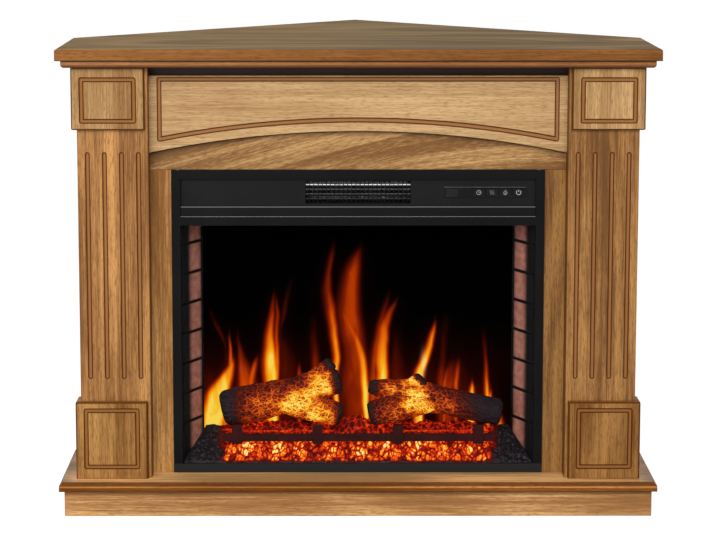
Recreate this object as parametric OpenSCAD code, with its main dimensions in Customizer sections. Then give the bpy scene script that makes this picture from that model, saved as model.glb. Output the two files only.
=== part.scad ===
// Corner fireplace: a veneered corner surround round an electric insert.
// Millimetres. +X is right, +Y is back towards the corner of the room, +Z is up.
// The origin is on the floor, under the middle of the whole object's box.
// Inside the modules y = 0 is the mantel's front edge; placed() moves it to its place.

/* [Mantel] */
// How far the mantel reaches past the blocks at each side
mantel_side_over = 26; // [20:1:60]
// Length of the mantel's straight sides, before the edges that follow the walls
side_return = 295; // [270:5:400]
// Thickness of the mantel board
mantel_t = 22; // [16:1:32]
// Radius of the mantel's upper edge
mantel_edge_r = 4; // [2:0.5:8]
// How far the boards under the mantel stay clear of the walls
wall_gap = 15; // [5:1:40]
// Thickness of the boards of the frame, the sides and the plinth
board_t = 16; // [12:1:22]

/* [Crown moulding] */
// How far the moulding stays behind the mantel's edge
crown_inset = 10; // [4:1:20]
// Height of the moulding
crown_h = 14; // [10:1:22]
// Radius of the moulding's lower edge
crown_r = 7; // [3:0.5:9]

/* [Columns] */
// Width of the frame that shows between the insert and a column
stile_show = 39.5; // [20:0.5:80]
// Width of a column
column_w = 134; // [126:1:134]
// Thickness of a column
column_t = 38; // [30:1:50]
// How far a column's face stays behind the mantel's front edge
column_inset = 36; // [26:1:50]
// Number of flutes on a column
flute_count = 4; // [2:1:5]
// Distance between neighbouring flutes
flute_pitch = 32; // [26:1:32]
// Distance from a block's end to the nearest end of a flute
flute_margin = 42; // [20:1:80]

/* [Blocks] */
// Thickness of a block over the column's face and outer side
block_t = 10; // [6:1:14]
// How far a block's inner edge stays short of the column's inner edge
block_step = 6; // [2:1:15]
// Height of the upper block
capital_h = 118; // [90:1:160]
// Height of the lower block
base_h = 150; // [110:1:200]
// Radius of a block's outer edges
block_edge_r = 4; // [2:0.5:5]
// Distance from a block's sides to the middle of its routed frame
block_groove_side = 20; // [14:1:30]
// Distance from a block's free end to the middle of its routed frame
block_groove_near = 17; // [12:1:30]
// Distance from a block's seated end to the middle of its routed frame
block_groove_far = 23; // [12:1:30]

/* [Frieze] */
// Height of the header board above the insert
header_h = 199; // [185:1:260]
// Thickness of the frieze panel
frieze_t = 16; // [10:1:22]
// Height of the frieze panel at its ends
frieze_h = 146; // [130:1:160]
// Rise of the arch in the frieze's lower edge
arch_rise = 41; // [20:1:55]
// Height of the dark gap between the frieze and the crown moulding
frieze_gap = 18; // [6:1:24]
// Distance from the frieze's ends to the middle of its routed frame
frieze_groove_side = 19.5; // [12:0.5:40]
// Distance from the frieze's top to the middle of its routed frame
frieze_groove_top = 7; // [6:0.5:20]
// Distance from the arch to the middle of the routed frame
frieze_groove_arch = 21; // [10:0.5:30]

/* [Router bit] */
// Radius of the ball-nose bit that cuts flutes and frames
bit_r = 5; // [4:0.5:7]
// Depth of the cuts
cut_depth = 3.2; // [1.5:0.1:3.8]

/* [Hearth and plinth] */
// Height of the plinth
plinth_h = 50; // [40:1:90]
// Thickness of the hearth slab
hearth_t = 18; // [16:1:28]
// How far the hearth slab reaches ahead of the mantel
hearth_front_over = 3; // [0:0.5:40]
// How far the hearth slab reaches past the mantel at each side
hearth_side_over = 4.5; // [0:0.5:20]
// Radius of the hollow under the slab's upper edge
cove_r = 5; // [3:0.5:6]
// Radius of the nose below the hollow
nose_r = 3; // [2:0.5:5]
// How far the plinth stays behind the slab's nose
plinth_inset = 9.5; // [4:0.5:30]

/* [Insert] */
// Width of the insert's front frame
insert_w = 711; // [700:1:730]
// Height of the insert's front frame
insert_h = 590; // [570:1:600]
// Depth of the insert's steel casing
casing_d = 210; // [200:1:240]
// Thickness of the front frame's sheet
flange_t = 2; // [1.5:0.1:3]
// Width of the front frame's bars
frame_bar = 17; // [15:0.5:20]
// Height of the bar between the fascia and the window
middle_bar = 17; // [12:0.5:24]
// Height of the trim rail under the fascia
rail_h = 19; // [14:0.5:24]
// Visible height of the fascia
fascia_h = 54; // [50:1:64]
// How far the glass and the fascia lie behind the front frame's face
recess_d = 8; // [5:0.5:12]
// Thickness of the glass
glass_t = 4; // [3:0.5:6]
// Thickness of the casing's sheet
sheet_t = 1.5; // [1:0.1:2]
// How much the front frame covers the opening at each side
flange_overlap = 8; // [6:0.5:9]

/* [Heater] */
// Width of the warm air outlet
outlet_w = 201; // [180:1:220]
// Height of the warm air outlet
outlet_h = 45; // [38:1:46]
// Number of upright wires across the outlet
outlet_wires = 24; // [12:1:30]
// Number of level bars across the outlet
outlet_bars = 4; // [3:1:5]
// Radius of the blower wheel
wheel_r = 25; // [20:0.5:25]
// Number of blades of the blower wheel
wheel_blades = 24; // [12:1:30]
// Number of fins on the heating element
fin_count = 22; // [10:1:30]

/* [Controls] */
// Width of a key
key_w = 23.4; // [20:0.1:24]
// Height of a key
key_h = 14; // [10:0.5:15]
// Gap between neighbouring keys
key_gap = 1.9; // [1.4:0.1:4]
// Distance from the insert's side to the last key's middle
key_side = 49.6; // [40:0.1:70]
// Travel of a key
key_travel = 1.2; // [0.6:0.1:1.6]
// How far the keys stand proud of the control strip
key_proud = 0.8; // [0.4:0.1:1.5]

/* [Firebox] */
// Distance from the glass to the flame screen
firebox_d = 80; // [76:1:90]
// How far a brick panel's back edge stands in from its front edge
panel_splay = 41.5; // [30:0.5:55]
// Thickness of the flame screen
screen_t = 3; // [2:0.5:5]
// Thickness of a brick panel
panel_t = 8; // [5:0.5:10]
// Height of one brick with its joint
course_h = 58.3; // [40:0.1:75]
// Height of the first joint above the hearth slab
first_joint = 93; // [60:1:120]

/* [Fire bed] */
// Height of the bed above the hearth slab at the glass
bed_front_h = 20; // [12:1:24]
// Height of the bed above the hearth slab at the flame screen
bed_back_h = 72; // [60:1:80]
// Radius of a glowing coal
coal_r = 17; // [12:0.5:18]
// Distance from the flame screen's end to the row of glowing coals
coal_side = 48; // [30:1:90]
// Height of the grate's front bar above the hearth slab
grate_z = 57; // [54:1:66]
// Distance from the flame screen's end to the grate's front bar
grate_side = 35; // [25:1:60]

/* [Clearances] */
// Gap between the casing and the opening in the surround
opening_gap = 2; // [1:0.5:4]
// Gap round pieces that slide or nest
fit_gap = 0.3; // [0.2:0.05:0.5]
// Gap between a shaft and its bearing
running_gap = 0.05; // [0.02:0.01:0.1]

/* [Hidden] */
$fn = 48;
OAK = "#c39a62";
OAK_DARK = "#8f5a2b";
OAK_EDGE = "#7f4a1c";
OAK_LOW = "#ad8049";
BLACK = "#26282a";
BLACK_SATIN = "#323435";
STEEL = "#b9bcc0";
ARCH_FN = 720;
over = 1;

column_in = insert_w / 2 + stile_show;
column_out = column_in + column_w;
mantel_half = column_out + block_t + mantel_side_over;
corner_depth = side_return + mantel_half;
front_y = (hearth_front_over - corner_depth) / 2;
body_wall = corner_depth - wall_gap * sqrt(2);
hearth_top = plinth_h + hearth_t;
insert_top = hearth_top + insert_h;
header_z = insert_top;
crown_z = header_z + header_h;
mantel_z = crown_z + crown_h;
total_h = mantel_z + mantel_t;
crown_half = mantel_half - crown_inset;
hearth_half = mantel_half + hearth_side_over;
plinth_half = hearth_half - plinth_inset;
plinth_front_y = plinth_inset - hearth_front_over;

column_mid = (column_in + column_out) / 2;
stile_front = column_inset + column_t;
stile_back = stile_front + board_t;
block_front = column_inset - block_t;
block_in = column_in + block_step;
block_out = column_out + block_t;
side_in = column_out - board_t;
crown_d = stile_back - crown_inset;
joint_chamfer = 1;

frieze_top = crown_z - frieze_gap;
frieze_bottom = frieze_top - frieze_h;
arch_r = (column_in * column_in + arch_rise * arch_rise) / (2 * arch_rise);
arch_centre_z = frieze_bottom + arch_rise - arch_r;

frame_y = stile_front - flange_t;
glass_y = frame_y + recess_d;
glass_back = glass_y + glass_t;
casing_half = insert_w / 2 - flange_overlap - opening_gap;
casing_in = casing_half - sheet_t;
casing_top = insert_top - flange_overlap - opening_gap;
casing_back = stile_front + casing_d;
floor_z = hearth_top + sheet_t;
window_half = insert_w / 2 - frame_bar;
window_z0 = hearth_top + frame_bar;
fascia_z1 = insert_top - frame_bar;
fascia_z0 = fascia_z1 - fascia_h;
rail_z0 = fascia_z0 - rail_h;
window_z1 = rail_z0 - middle_bar;
heater_z = (fascia_z0 + fascia_z1) / 2;
cover_edge = 5;
glass_gap = 0.5;
ceiling_z = window_z1 + cover_edge + 3;
ceiling_t = 2;
fascia_t = 2;
fascia_y = glass_y + fascia_t;

screen_y = glass_back + firebox_d;
panel_front_half = window_half + 1;
screen_half = panel_front_half - panel_splay;
panel_run = [panel_splay, firebox_d];
coal_row = 2 * (screen_half - coal_side);
grate_w = 2 * (screen_half - grate_side);

duct_half = outlet_w / 2 + 6;
duct_wall = 1.5;
duct_h = outlet_h + 4;
scroll_r = wheel_r + 5;
blower_top_gap = 1;
blower_y = fascia_y + 100;
blower_z = casing_top - sheet_t - blower_top_gap - duct_wall - scroll_r;
shaft_r = 3;
motor_r = 22;
motor_l = 30;

rotor_y = screen_y + 40;
rotor_z = floor_z + 60;
rotor_half = screen_half - 14;
rotor_flap = 30;
rotor_flaps = 22;

key_pitch = key_w + key_gap;

// Middles of the keys, from left to right: timer, heater, flame, power.
function key_centre(index) = insert_w / 2 - key_side - (3 - index) * key_pitch;

// The five-cornered outline of every board that fills the corner of the room.
function corner_outline(half_w, front, wall) = [
    [-half_w, front], [half_w, front], [half_w, wall - half_w], [0, wall], [-half_w, wall - half_w]
];

module placed() {
    translate([0, front_y, 0])
        children();
}

// side is 1 for the right and -1 for the left.
module on_side(side) {
    if (side < 0)
        mirror([1, 0, 0])
            children();
    else
        children();
}

module box(low, high) {
    translate(low)
        cube(high - low);
}

module corner_slab(half_w, front, wall, height) {
    linear_extrude(height)
        polygon(corner_outline(half_w, front, wall));
}

// Runs an edge profile (x outward, y up) along the front and both sides of a corner slab.
module along_edges(half_w, front, wall) {
    translate([0, front, 0])
        rotate([90, 0, -90])
            linear_extrude(2 * (half_w + over), center = true)
                children();
    for (side = [-1, 1])
        translate([side * half_w, (front + wall) / 2, 0])
            rotate([90, 0, side < 0 ? 180 : 0])
                linear_extrude(wall - front + 2 * over, center = true)
                    children();
}

// What a rounding bit takes off an edge at the origin, with the wood at -x and -y.
module round_over(r) {
    translate([-r, -r])
        difference() {
            square(r + over);
            circle(r);
        }
}

// A ball-nose cut along a path of [x, z] points on a face at the given depth.
module routed_path(points, face_y, closed) {
    last = closed ? len(points) - 1 : len(points) - 2;
    for (i = [0 : len(points) - 1])
        routed_point(points[i], face_y);
    for (i = [0 : last]) {
        step = points[(i + 1) % len(points)] - points[i];
        translate([points[i].x, face_y - bit_r + cut_depth, points[i].y])
            rotate([0, 90 - atan2(step.y, step.x), 0])
                cylinder(h = norm(step), r = bit_r);
    }
}

module routed_point(point, face_y) {
    translate([point.x, face_y - bit_r + cut_depth, point.y])
        sphere(r = bit_r);
}

// ---- Surround ----

module mantel_top() {
    color(OAK_DARK)
        placed()
            difference() {
                translate([0, 0, mantel_z])
                    corner_slab(mantel_half, 0, corner_depth, mantel_t);
                translate([0, 0, total_h])
                    along_edges(mantel_half, 0, corner_depth)
                        round_over(mantel_edge_r);
            }
}

// One length of crown moulding: an outline with its lower outer edge rounded.
module crown_length(outline) {
    color(OAK_DARK)
        placed()
            translate([0, 0, crown_z])
                difference() {
                    linear_extrude(crown_h)
                        polygon(outline);
                    along_edges(crown_half, crown_inset, body_wall)
                        mirror([0, 1])
                            round_over(crown_r);
                }
}

module crown_moulding_front() {
    crown_length([
        [-crown_half, crown_inset], [crown_half, crown_inset],
        [crown_half - crown_d, stile_back], [crown_d - crown_half, stile_back]
    ]);
}

module crown_side(side) {
    inner = crown_half - crown_d;
    on_side(side)
        crown_length([
            [crown_half, crown_inset], [crown_half, body_wall - crown_half],
            [inner, body_wall - inner], [inner, stile_back]
        ]);
}

module crown_moulding_left() {
    crown_side(-1);
}

module crown_moulding_right() {
    crown_side(1);
}

// A small chamfer along a level edge, which leaves a fine dark line at a joint.
module joint_line(half_w, z) {
    translate([0, stile_front, z])
        rotate([45, 0, 0])
            cube([2 * half_w, joint_chamfer * sqrt(2), joint_chamfer * sqrt(2)], center = true);
}

module surround_header() {
    color(OAK)
        placed()
            difference() {
                box([-side_in, stile_front, header_z], [side_in, stile_back, crown_z]);
                joint_line(side_in + over, header_z);
            }
}

module surround_stile(side) {
    color(OAK)
        placed()
            on_side(side)
                difference() {
                    box([casing_half + opening_gap, stile_front, hearth_top],
                        [side_in, stile_back, header_z]);
                    joint_line(side_in + over, header_z);
                }
}

module surround_stile_left() {
    surround_stile(-1);
}

module surround_stile_right() {
    surround_stile(1);
}

module frieze_outline() {
    difference() {
        translate([-column_in, frieze_bottom])
            square([2 * column_in, frieze_h]);
        translate([0, arch_centre_z])
            circle(arch_r, $fn = ARCH_FN);
    }
}

// The bit's section where it follows the arch: eight sides round a circle of radius 1.
BIT_SECTION = [
    [1, -0.4], [1, 0.4], [0.4, 1], [-0.4, 1],
    [-1, 0.4], [-1, -0.4], [-0.4, -1], [0.4, -1]
];

// The frieze's routed frame: three straight runs and an arc that follows the arch.
module frieze_groove() {
    face_y = stile_front - frieze_t;
    x = column_in - frieze_groove_side;
    top = frieze_top - frieze_groove_top;
    path_r = arch_r + frieze_groove_arch;
    half_angle = asin(x / path_r);
    foot = arch_centre_z + path_r * cos(half_angle);
    routed_path([[-x, foot], [-x, top], [x, top], [x, foot]], face_y, false);
    translate([0, face_y - bit_r + cut_depth, arch_centre_z])
        rotate([90, 0, 0])
            rotate([0, 0, 90 - half_angle])
                rotate_extrude(angle = 2 * half_angle, $fn = ARCH_FN)
                    translate([path_r, 0])
                        polygon(bit_r * BIT_SECTION);
}

module frieze_panel() {
    color(OAK)
        placed()
            difference() {
                translate([0, stile_front, 0])
                    rotate([90, 0, 0])
                        linear_extrude(frieze_t)
                            frieze_outline();
                frieze_groove();
            }
}

module pilaster(side) {
    flute_z0 = hearth_top + base_h + flute_margin + bit_r;
    flute_z1 = crown_z - capital_h - flute_margin - bit_r;
    color(OAK)
        placed()
            on_side(side)
                difference() {
                    box([column_in, column_inset, hearth_top],
                        [column_out, stile_front, crown_z]);
                    for (i = [0 : flute_count - 1]) {
                        x = column_mid + (i - (flute_count - 1) / 2) * flute_pitch;
                        routed_path([[x, flute_z0], [x, flute_z1]], column_inset, false);
                    }
                }
}

module pilaster_left() {
    pilaster(-1);
}

module pilaster_right() {
    pilaster(1);
}

// A block that wraps a column's face and outer side, seated at z = 0, free at z = height.
module wrap_block(height) {
    x0 = block_in + block_groove_side;
    x1 = block_out - block_groove_side;
    z0 = block_groove_far;
    z1 = height - block_groove_near;
    difference() {
        union() {
            box([block_in, block_front, 0], [block_out, column_inset, height]);
            box([column_out, block_front, 0], [block_out, stile_front, height]);
        }
        translate([block_out, block_front, -over])
            linear_extrude(height + 2 * over)
                mirror([0, 1])
                    round_over(block_edge_r);
        translate([block_in, block_front, -over])
            linear_extrude(height + 2 * over)
                rotate(180)
                    round_over(block_edge_r);
        translate([column_mid, block_front, height])
            rotate([90, 0, -90])
                linear_extrude(2 * column_w, center = true)
                    round_over(block_edge_r);
        translate([block_out, stile_front, height])
            rotate([90, 0, 0])
                linear_extrude(4 * column_t, center = true)
                    round_over(block_edge_r);
        routed_path([[x0, z0], [x1, z0], [x1, z1], [x0, z1]], block_front, true);
    }
}

module capital_block(side) {
    color(OAK)
        placed()
            on_side(side)
                translate([0, 0, crown_z])
                    mirror([0, 0, 1])
                        wrap_block(capital_h);
}

module base_block(side) {
    color(OAK_LOW)
        placed()
            on_side(side)
                translate([0, 0, hearth_top])
                    wrap_block(base_h);
}

module capital_block_left() {
    capital_block(-1);
}

module capital_block_right() {
    capital_block(1);
}

module base_block_left() {
    base_block(-1);
}

module base_block_right() {
    base_block(1);
}

module side_panel(side) {
    color(OAK)
        placed()
            on_side(side)
                translate([0, 0, hearth_top])
                    linear_extrude(crown_z - hearth_top)
                        polygon([
                            [side_in, stile_front], [column_out, stile_front],
                            [column_out, body_wall - column_out], [side_in, body_wall - side_in]
                        ]);
}

module side_panel_left() {
    side_panel(-1);
}

module side_panel_right() {
    side_panel(1);
}

// The slab's moulded edge: a hollow over a rounded nose.
module hearth_edge() {
    translate([-0.5, 0])
        circle(cove_r);
    translate([0, -cove_r])
        round_over(nose_r);
    translate([-nose_r, -cove_r])
        square([nose_r + over, cove_r + over]);
}

module hearth_slab() {
    color(OAK_EDGE)
        placed()
            difference() {
                translate([0, 0, plinth_h])
                    corner_slab(hearth_half, -hearth_front_over, body_wall, hearth_t);
                translate([0, 0, hearth_top])
                    along_edges(hearth_half, -hearth_front_over, body_wall)
                        hearth_edge();
            }
}

module plinth_front() {
    color(OAK_LOW)
        placed()
            box([-plinth_half, plinth_front_y, 0],
                [plinth_half, plinth_front_y + board_t, plinth_h]);
}

module plinth_side(side) {
    inner = plinth_half - board_t;
    color(OAK_LOW)
        placed()
            on_side(side)
                linear_extrude(plinth_h)
                    polygon([
                        [inner, plinth_front_y + board_t], [plinth_half, plinth_front_y + board_t],
                        [plinth_half, body_wall - plinth_half], [inner, body_wall - inner]
                    ]);
}

module plinth_left() {
    plinth_side(-1);
}

module plinth_right() {
    plinth_side(1);
}

// A rail under the slab along one wall, mitred at the corner of the room.
module plinth_rail(side) {
    inner = plinth_half - board_t;
    inner_wall = body_wall - board_t * sqrt(2);
    color(OAK_LOW)
        placed()
            on_side(side)
                linear_extrude(plinth_h)
                    polygon([
                        [0, inner_wall], [inner, inner_wall - inner],
                        [inner, body_wall - inner], [0, body_wall]
                    ]);
}

module plinth_rail_left() {
    plinth_rail(-1);
}

module plinth_rail_right() {
    plinth_rail(1);
}

bracket_leg = 32;
bracket_w = 30;
bracket_t = 2.5;
bracket_hole_r = 2.5;
bracket_edge = 46;
bracket_rows = [stile_back + 60, body_wall - side_in - bracket_w - bracket_edge];

// Places its children at each bracket's corner, legs towards the middle and away from the slab.
module at_brackets() {
    for (side = [-1, 1], y = bracket_rows, top = [0, 1])
        on_side(side)
            translate([side_in, y, top ? crown_z : hearth_top])
                mirror([0, 0, top])
                    children();
}

module corner_brackets() {
    color(STEEL)
        placed()
            at_brackets()
                difference() {
                    union() {
                        box([-bracket_leg, 0, 0], [0, bracket_w, bracket_t]);
                        box([-bracket_t, 0, 0], [0, bracket_w, bracket_leg]);
                    }
                    translate([-bracket_leg * 0.6, bracket_w / 2, -over])
                        cylinder(h = bracket_t + 2 * over, r = bracket_hole_r);
                    translate([over, bracket_w / 2, bracket_leg * 0.6])
                        rotate([0, -90, 0])
                            cylinder(h = bracket_t + 2 * over, r = bracket_hole_r);
                }
}

// ---- Insert: front ----

// A level sleeve through the front frame: an opening's folded-back edge.
module folded_edge(half_w, z0, z1) {
    box([-half_w - sheet_t, frame_y, z0 - sheet_t], [half_w + sheet_t, glass_y, z1 + sheet_t]);
}

module frame_opening(half_w, z0, z1) {
    box([-half_w, frame_y - over, z0], [half_w, glass_y + over, z1]);
}

module front_frame() {
    color(BLACK)
        placed()
            difference() {
                union() {
                    box([-insert_w / 2, frame_y, hearth_top],
                        [insert_w / 2, frame_y + flange_t, insert_top]);
                    folded_edge(window_half, window_z0, window_z1);
                    folded_edge(window_half, rail_z0, fascia_z1);
                }
                frame_opening(window_half, window_z0, window_z1);
                frame_opening(window_half, rail_z0, fascia_z1);
            }
}

rail_t = 5;

module trim_rail() {
    color(BLACK)
        placed()
            difference() {
                box([-window_half + fit_gap, glass_y - rail_t, rail_z0 + fit_gap],
                    [window_half - fit_gap, glass_y, fascia_z0]);
                translate([0, glass_y - rail_t, fascia_z0])
                    rotate([45, 0, 0])
                        cube([insert_w, 2, 2], center = true);
            }
}

strip_t = 1.5;
strip_margin = 4;
strip_h = key_h + 6;
display_w = 23;
display_x = key_centre(0) - 2 * key_pitch;
strip_x0 = display_x - display_w / 2 - strip_margin;
strip_x1 = key_centre(3) + key_w / 2 + strip_margin;
strip_w = strip_x1 - strip_x0;
strip_mid = (strip_x0 + strip_x1) / 2;
post_r = 3;
board_y = fascia_y + 12;
board_w = strip_w - 10;
board_h = key_h + 20;

// The openings for the keys and the display, through the control strip and the fascia.
module control_openings() {
    for (i = [0 : 3])
        translate([key_centre(i), fascia_y, heater_z])
            cube([key_w + 2 * fit_gap, 40, key_h + 2 * fit_gap], center = true);
    translate([display_x, fascia_y, heater_z])
        cube([display_w, 40, key_h], center = true);
}

module rounded_plate(w, h, t, r) {
    rotate([90, 0, 0])
        linear_extrude(t)
            difference() {
                square([w, h], center = true);
                for (turn = [0, 180]) {
                    rotate(turn)
                        translate([w / 2, h / 2])
                            round_over(r);
                    rotate(turn)
                        translate([w / 2, -h / 2])
                            mirror([0, 1])
                                round_over(r);
                }
            }
}

module control_strip() {
    color(BLACK_SATIN)
        placed()
            difference() {
                translate([strip_mid, glass_y, heater_z])
                    rounded_plate(strip_w, strip_h, strip_t, 3);
                control_openings();
            }
}

module display_window() {
    color("#15181c")
        placed()
            translate([display_x, fascia_y, heater_z])
                rounded_plate(display_w, key_h, fascia_t + strip_t - 0.3, 1);
}

module fascia_panel() {
    color(BLACK)
        placed() {
            difference() {
                box([-casing_in + fit_gap, glass_y, window_z1 + cover_edge + 1],
                    [casing_in - fit_gap, fascia_y, casing_top - sheet_t - fit_gap]);
                translate([0, glass_y, heater_z])
                    cube([outlet_w, 20, outlet_h], center = true);
                control_openings();
            }
            for (x = [-1, 1], z = [-1, 1])
                translate([strip_mid + x * (board_w / 2 - 6), fascia_y, heater_z + z * (board_h / 2 - 5)])
                    rotate([-90, 0, 0])
                        cylinder(h = board_y - fascia_y, r = post_r);
        }
}

key_flange = 1.5;
key_stem_r = 2.5;
switch_h = 3.5;
switch_y = board_y - switch_h;

module key(index) {
    color(BLACK_SATIN)
        placed()
            translate([key_centre(index), 0, heater_z]) {
                translate([0, fascia_y + fit_gap, 0])
                    rounded_plate(key_w, key_h, fascia_t + strip_t + fit_gap + key_proud, 1.2);
                translate([0, fascia_y + fit_gap + key_flange, 0])
                    rounded_plate(key_w + 1, key_h + 3, key_flange, 1);
                translate([0, fascia_y + fit_gap, 0])
                    rotate([-90, 0, 0])
                        cylinder(h = switch_y - fascia_y - 2 * fit_gap - key_travel, r = key_stem_r);
            }
}

module timer_key() {
    key(0);
}

module heater_key() {
    key(1);
}

module flame_key() {
    key(2);
}

module power_key() {
    key(3);
}

module control_board() {
    color("#2f6b3c")
        placed() {
            translate([strip_mid, board_y + 1.6, heater_z])
                rounded_plate(board_w, board_h, 1.6, 2);
            for (i = [0 : 3])
                translate([key_centre(i), board_y - switch_h / 2, heater_z])
                    cube([6, switch_h, 6], center = true);
            translate([display_x, board_y - 2.5, heater_z])
                cube([display_w, 5, key_h], center = true);
        }
}

wire_r = 0.8;
louvre_t = 1.2;
louvre_d = 6;
grille_margin = 6;
grille_t = 1.5;

module outlet_grille() {
    wire_pitch = outlet_w / (outlet_wires + 1);
    bar_pitch = outlet_h / (outlet_bars + 1);
    color(BLACK)
        placed() {
            difference() {
                translate([0, fascia_y + grille_t, heater_z])
                    rounded_plate(outlet_w + 2 * grille_margin, outlet_h + 2, grille_t, 1);
                translate([0, fascia_y, heater_z])
                    cube([outlet_w - 2, 20, outlet_h - 2], center = true);
            }
            for (i = [1 : outlet_wires])
                translate([i * wire_pitch - outlet_w / 2, fascia_y + wire_r, heater_z - outlet_h / 2])
                    cylinder(h = outlet_h, r = wire_r, $fn = 16);
            for (i = [1 : outlet_bars])
                translate([0, fascia_y + grille_t + louvre_d / 2 - 0.5, heater_z - outlet_h / 2 + i * bar_pitch])
                    rotate([-25, 0, 0])
                        cube([outlet_w, louvre_d, louvre_t], center = true);
        }
}

module front_glass() {
    color("#9fb0b8", 0.3)
        placed()
            box([glass_gap - casing_in, glass_y, window_z0 - cover_edge],
                [casing_in - glass_gap, glass_back, window_z1 + cover_edge]);
}

// ---- Insert: casing ----

vent_w = 60;
vent_h = 5;
vent_pitch = 12;

// A block of level slots through a sheet that faces back.
module vents(x, z, rows, columns) {
    for (row = [0 : rows - 1], column = [0 : columns - 1])
        translate([x + (column - (columns - 1) / 2) * (vent_w + 14), casing_back, z + row * vent_pitch])
            cube([vent_w, 20, vent_h], center = true);
}

module insert_casing() {
    color(BLACK)
        placed()
            difference() {
                box([-casing_half, stile_front, hearth_top], [casing_half, casing_back, casing_top]);
                box([-casing_in, stile_front - over, floor_z],
                    [casing_in, casing_back + over, casing_top - sheet_t]);
                for (i = [-5 : 5])
                    translate([i * 26, blower_y + 40, casing_top])
                        cube([8, 50, 20], center = true);
            }
}

gland_side = 65.5;
gland_x = casing_half - gland_side;
gland_z = 55;
gland_r = 8;
gland_bore_r = 4;

module rear_cover() {
    color(BLACK)
        placed()
            difference() {
                box([-casing_half, casing_back, hearth_top],
                    [casing_half, casing_back + sheet_t, casing_top]);
                vents(0, heater_z - 24, 5, 4);
                vents(0, floor_z + 40, 4, 4);
                translate([gland_x, casing_back, hearth_top + gland_z])
                    rotate([-90, 0, 0])
                        cylinder(h = 20, r = gland_r, center = true);
            }
}

module cable_gland() {
    color("#1b1c1d")
        placed()
            translate([gland_x, casing_back, hearth_top + gland_z])
                rotate([-90, 0, 0])
                    difference() {
                        union() {
                            translate([0, 0, -6])
                                cylinder(h = 6, r = gland_r + 3);
                            cylinder(h = sheet_t, r = gland_r);
                            translate([0, 0, sheet_t])
                                cylinder(h = 7, r = gland_r + 4, $fn = 6);
                            translate([0, 0, sheet_t + 7])
                                cylinder(h = 8, r1 = gland_r + 1, r2 = gland_r - 2);
                        }
                        translate([0, 0, -20])
                            cylinder(h = 60, r = gland_bore_r);
                    }
}

clip_h = 50;
clip_leg = 36;
clip_t = 2;

// Two angles that clamp the casing to the backs of the stiles.
module insert_brackets() {
    color(STEEL)
        placed()
            for (side = [-1, 1])
                on_side(side)
                    translate([casing_half, stile_back, hearth_top + insert_h / 2])
                        difference() {
                            union() {
                                box([0, 0, 0], [clip_t, clip_leg, clip_h]);
                                box([0, 0, 0], [clip_leg, clip_t, clip_h]);
                            }
                            translate([clip_leg / 2, -over, clip_h / 2])
                                rotate([-90, 0, 0])
                                    cylinder(h = clip_t + 2 * over, r = bracket_hole_r);
                        }
}

module firebox_ceiling() {
    color(BLACK)
        placed()
            box([-casing_in, glass_back + fit_gap, ceiling_z],
                [casing_in, casing_back, ceiling_z + ceiling_t]);
}

// ---- Insert: heater ----

// Outline of the duct and the blower's scroll, seen from the side as [depth, height].
module duct_profile(grow) {
    translate([fascia_y + grille_t - grow, heater_z - duct_h / 2 - grow])
        square([blower_y - fascia_y - grille_t + grow, duct_h + 2 * grow]);
    translate([blower_y, blower_z])
        circle(scroll_r + grow);
}

// Extrudes a [depth, height] outline along X, to both sides of the middle.
module across(half_w) {
    rotate([90, 0, 90])
        linear_extrude(2 * half_w, center = true)
            children();
}

module heater_duct() {
    color(STEEL)
        placed() {
            for (side = [-1, 1])
                on_side(side)
                    duct_leg();
            difference() {
                across(duct_half + duct_wall)
                    difference() {
                        duct_profile(duct_wall);
                        translate([fascia_y + grille_t - 2 * duct_h, heater_z - duct_h])
                            square(2 * duct_h);
                    }
                across(duct_half)
                    duct_profile(0);
                translate([0, blower_y + scroll_r, blower_z])
                    cube([2 * duct_half - 20, 24, scroll_r], center = true);
                translate([0, blower_y, blower_z])
                    rotate([0, 90, 0])
                        cylinder(h = 4 * duct_half, r = shaft_r + running_gap, center = true);
            }
        }
}

leg_t = 2;
leg_foot = 14;
leg_y = blower_y - 64;

// One leg that carries the duct on the firebox ceiling.
module duct_leg() {
    z0 = ceiling_z + ceiling_t;
    x0 = duct_half + duct_wall;
    box([x0, leg_y, z0], [x0 + leg_t, leg_y + 30, heater_z]);
    box([x0, leg_y, z0], [x0 + leg_foot, leg_y + 30, z0 + leg_t]);
}

element_y = fascia_y + 30;

module heating_element() {
    fin_w = 2;
    span = 2 * duct_half - 20;
    color(STEEL)
        placed()
            translate([0, element_y, heater_z]) {
                for (z = [-9, 9])
                    translate([0, 0, z])
                        rotate([0, 90, 0])
                            cylinder(h = 2 * duct_half, r = 4, center = true);
                for (i = [0 : fin_count - 1])
                    translate([(i / (fin_count - 1) - 0.5) * span, 0, 0])
                        cube([fin_w, 14, duct_h - 10], center = true);
            }
}

wheel_half = duct_half - 6;
blade_r = 7;
blade_t = 1;

// One curved blade of the blower, as [outward, along the rim].
module blade() {
    intersection() {
        difference() {
            circle(blade_r);
            circle(blade_r - blade_t);
        }
        translate([0, 0])
            square(blade_r + over);
    }
}

module blower_wheel() {
    color(STEEL)
        placed()
            translate([0, blower_y, blower_z])
                rotate([0, 90, 0]) {
                    for (z = [-wheel_half, -1, wheel_half - 2])
                        translate([0, 0, z])
                            cylinder(h = 2, r = wheel_r);
                    for (i = [0 : wheel_blades - 1])
                        rotate(i * 360 / wheel_blades)
                            translate([wheel_r - blade_r - 1, -blade_r / 2, 0])
                                linear_extrude(2 * wheel_half, center = true)
                                    blade();
                    translate([0, 0, -duct_half - duct_wall])
                        cylinder(h = 2 * duct_half + 2 * duct_wall + motor_l / 2, r = shaft_r);
                }
}

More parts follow.
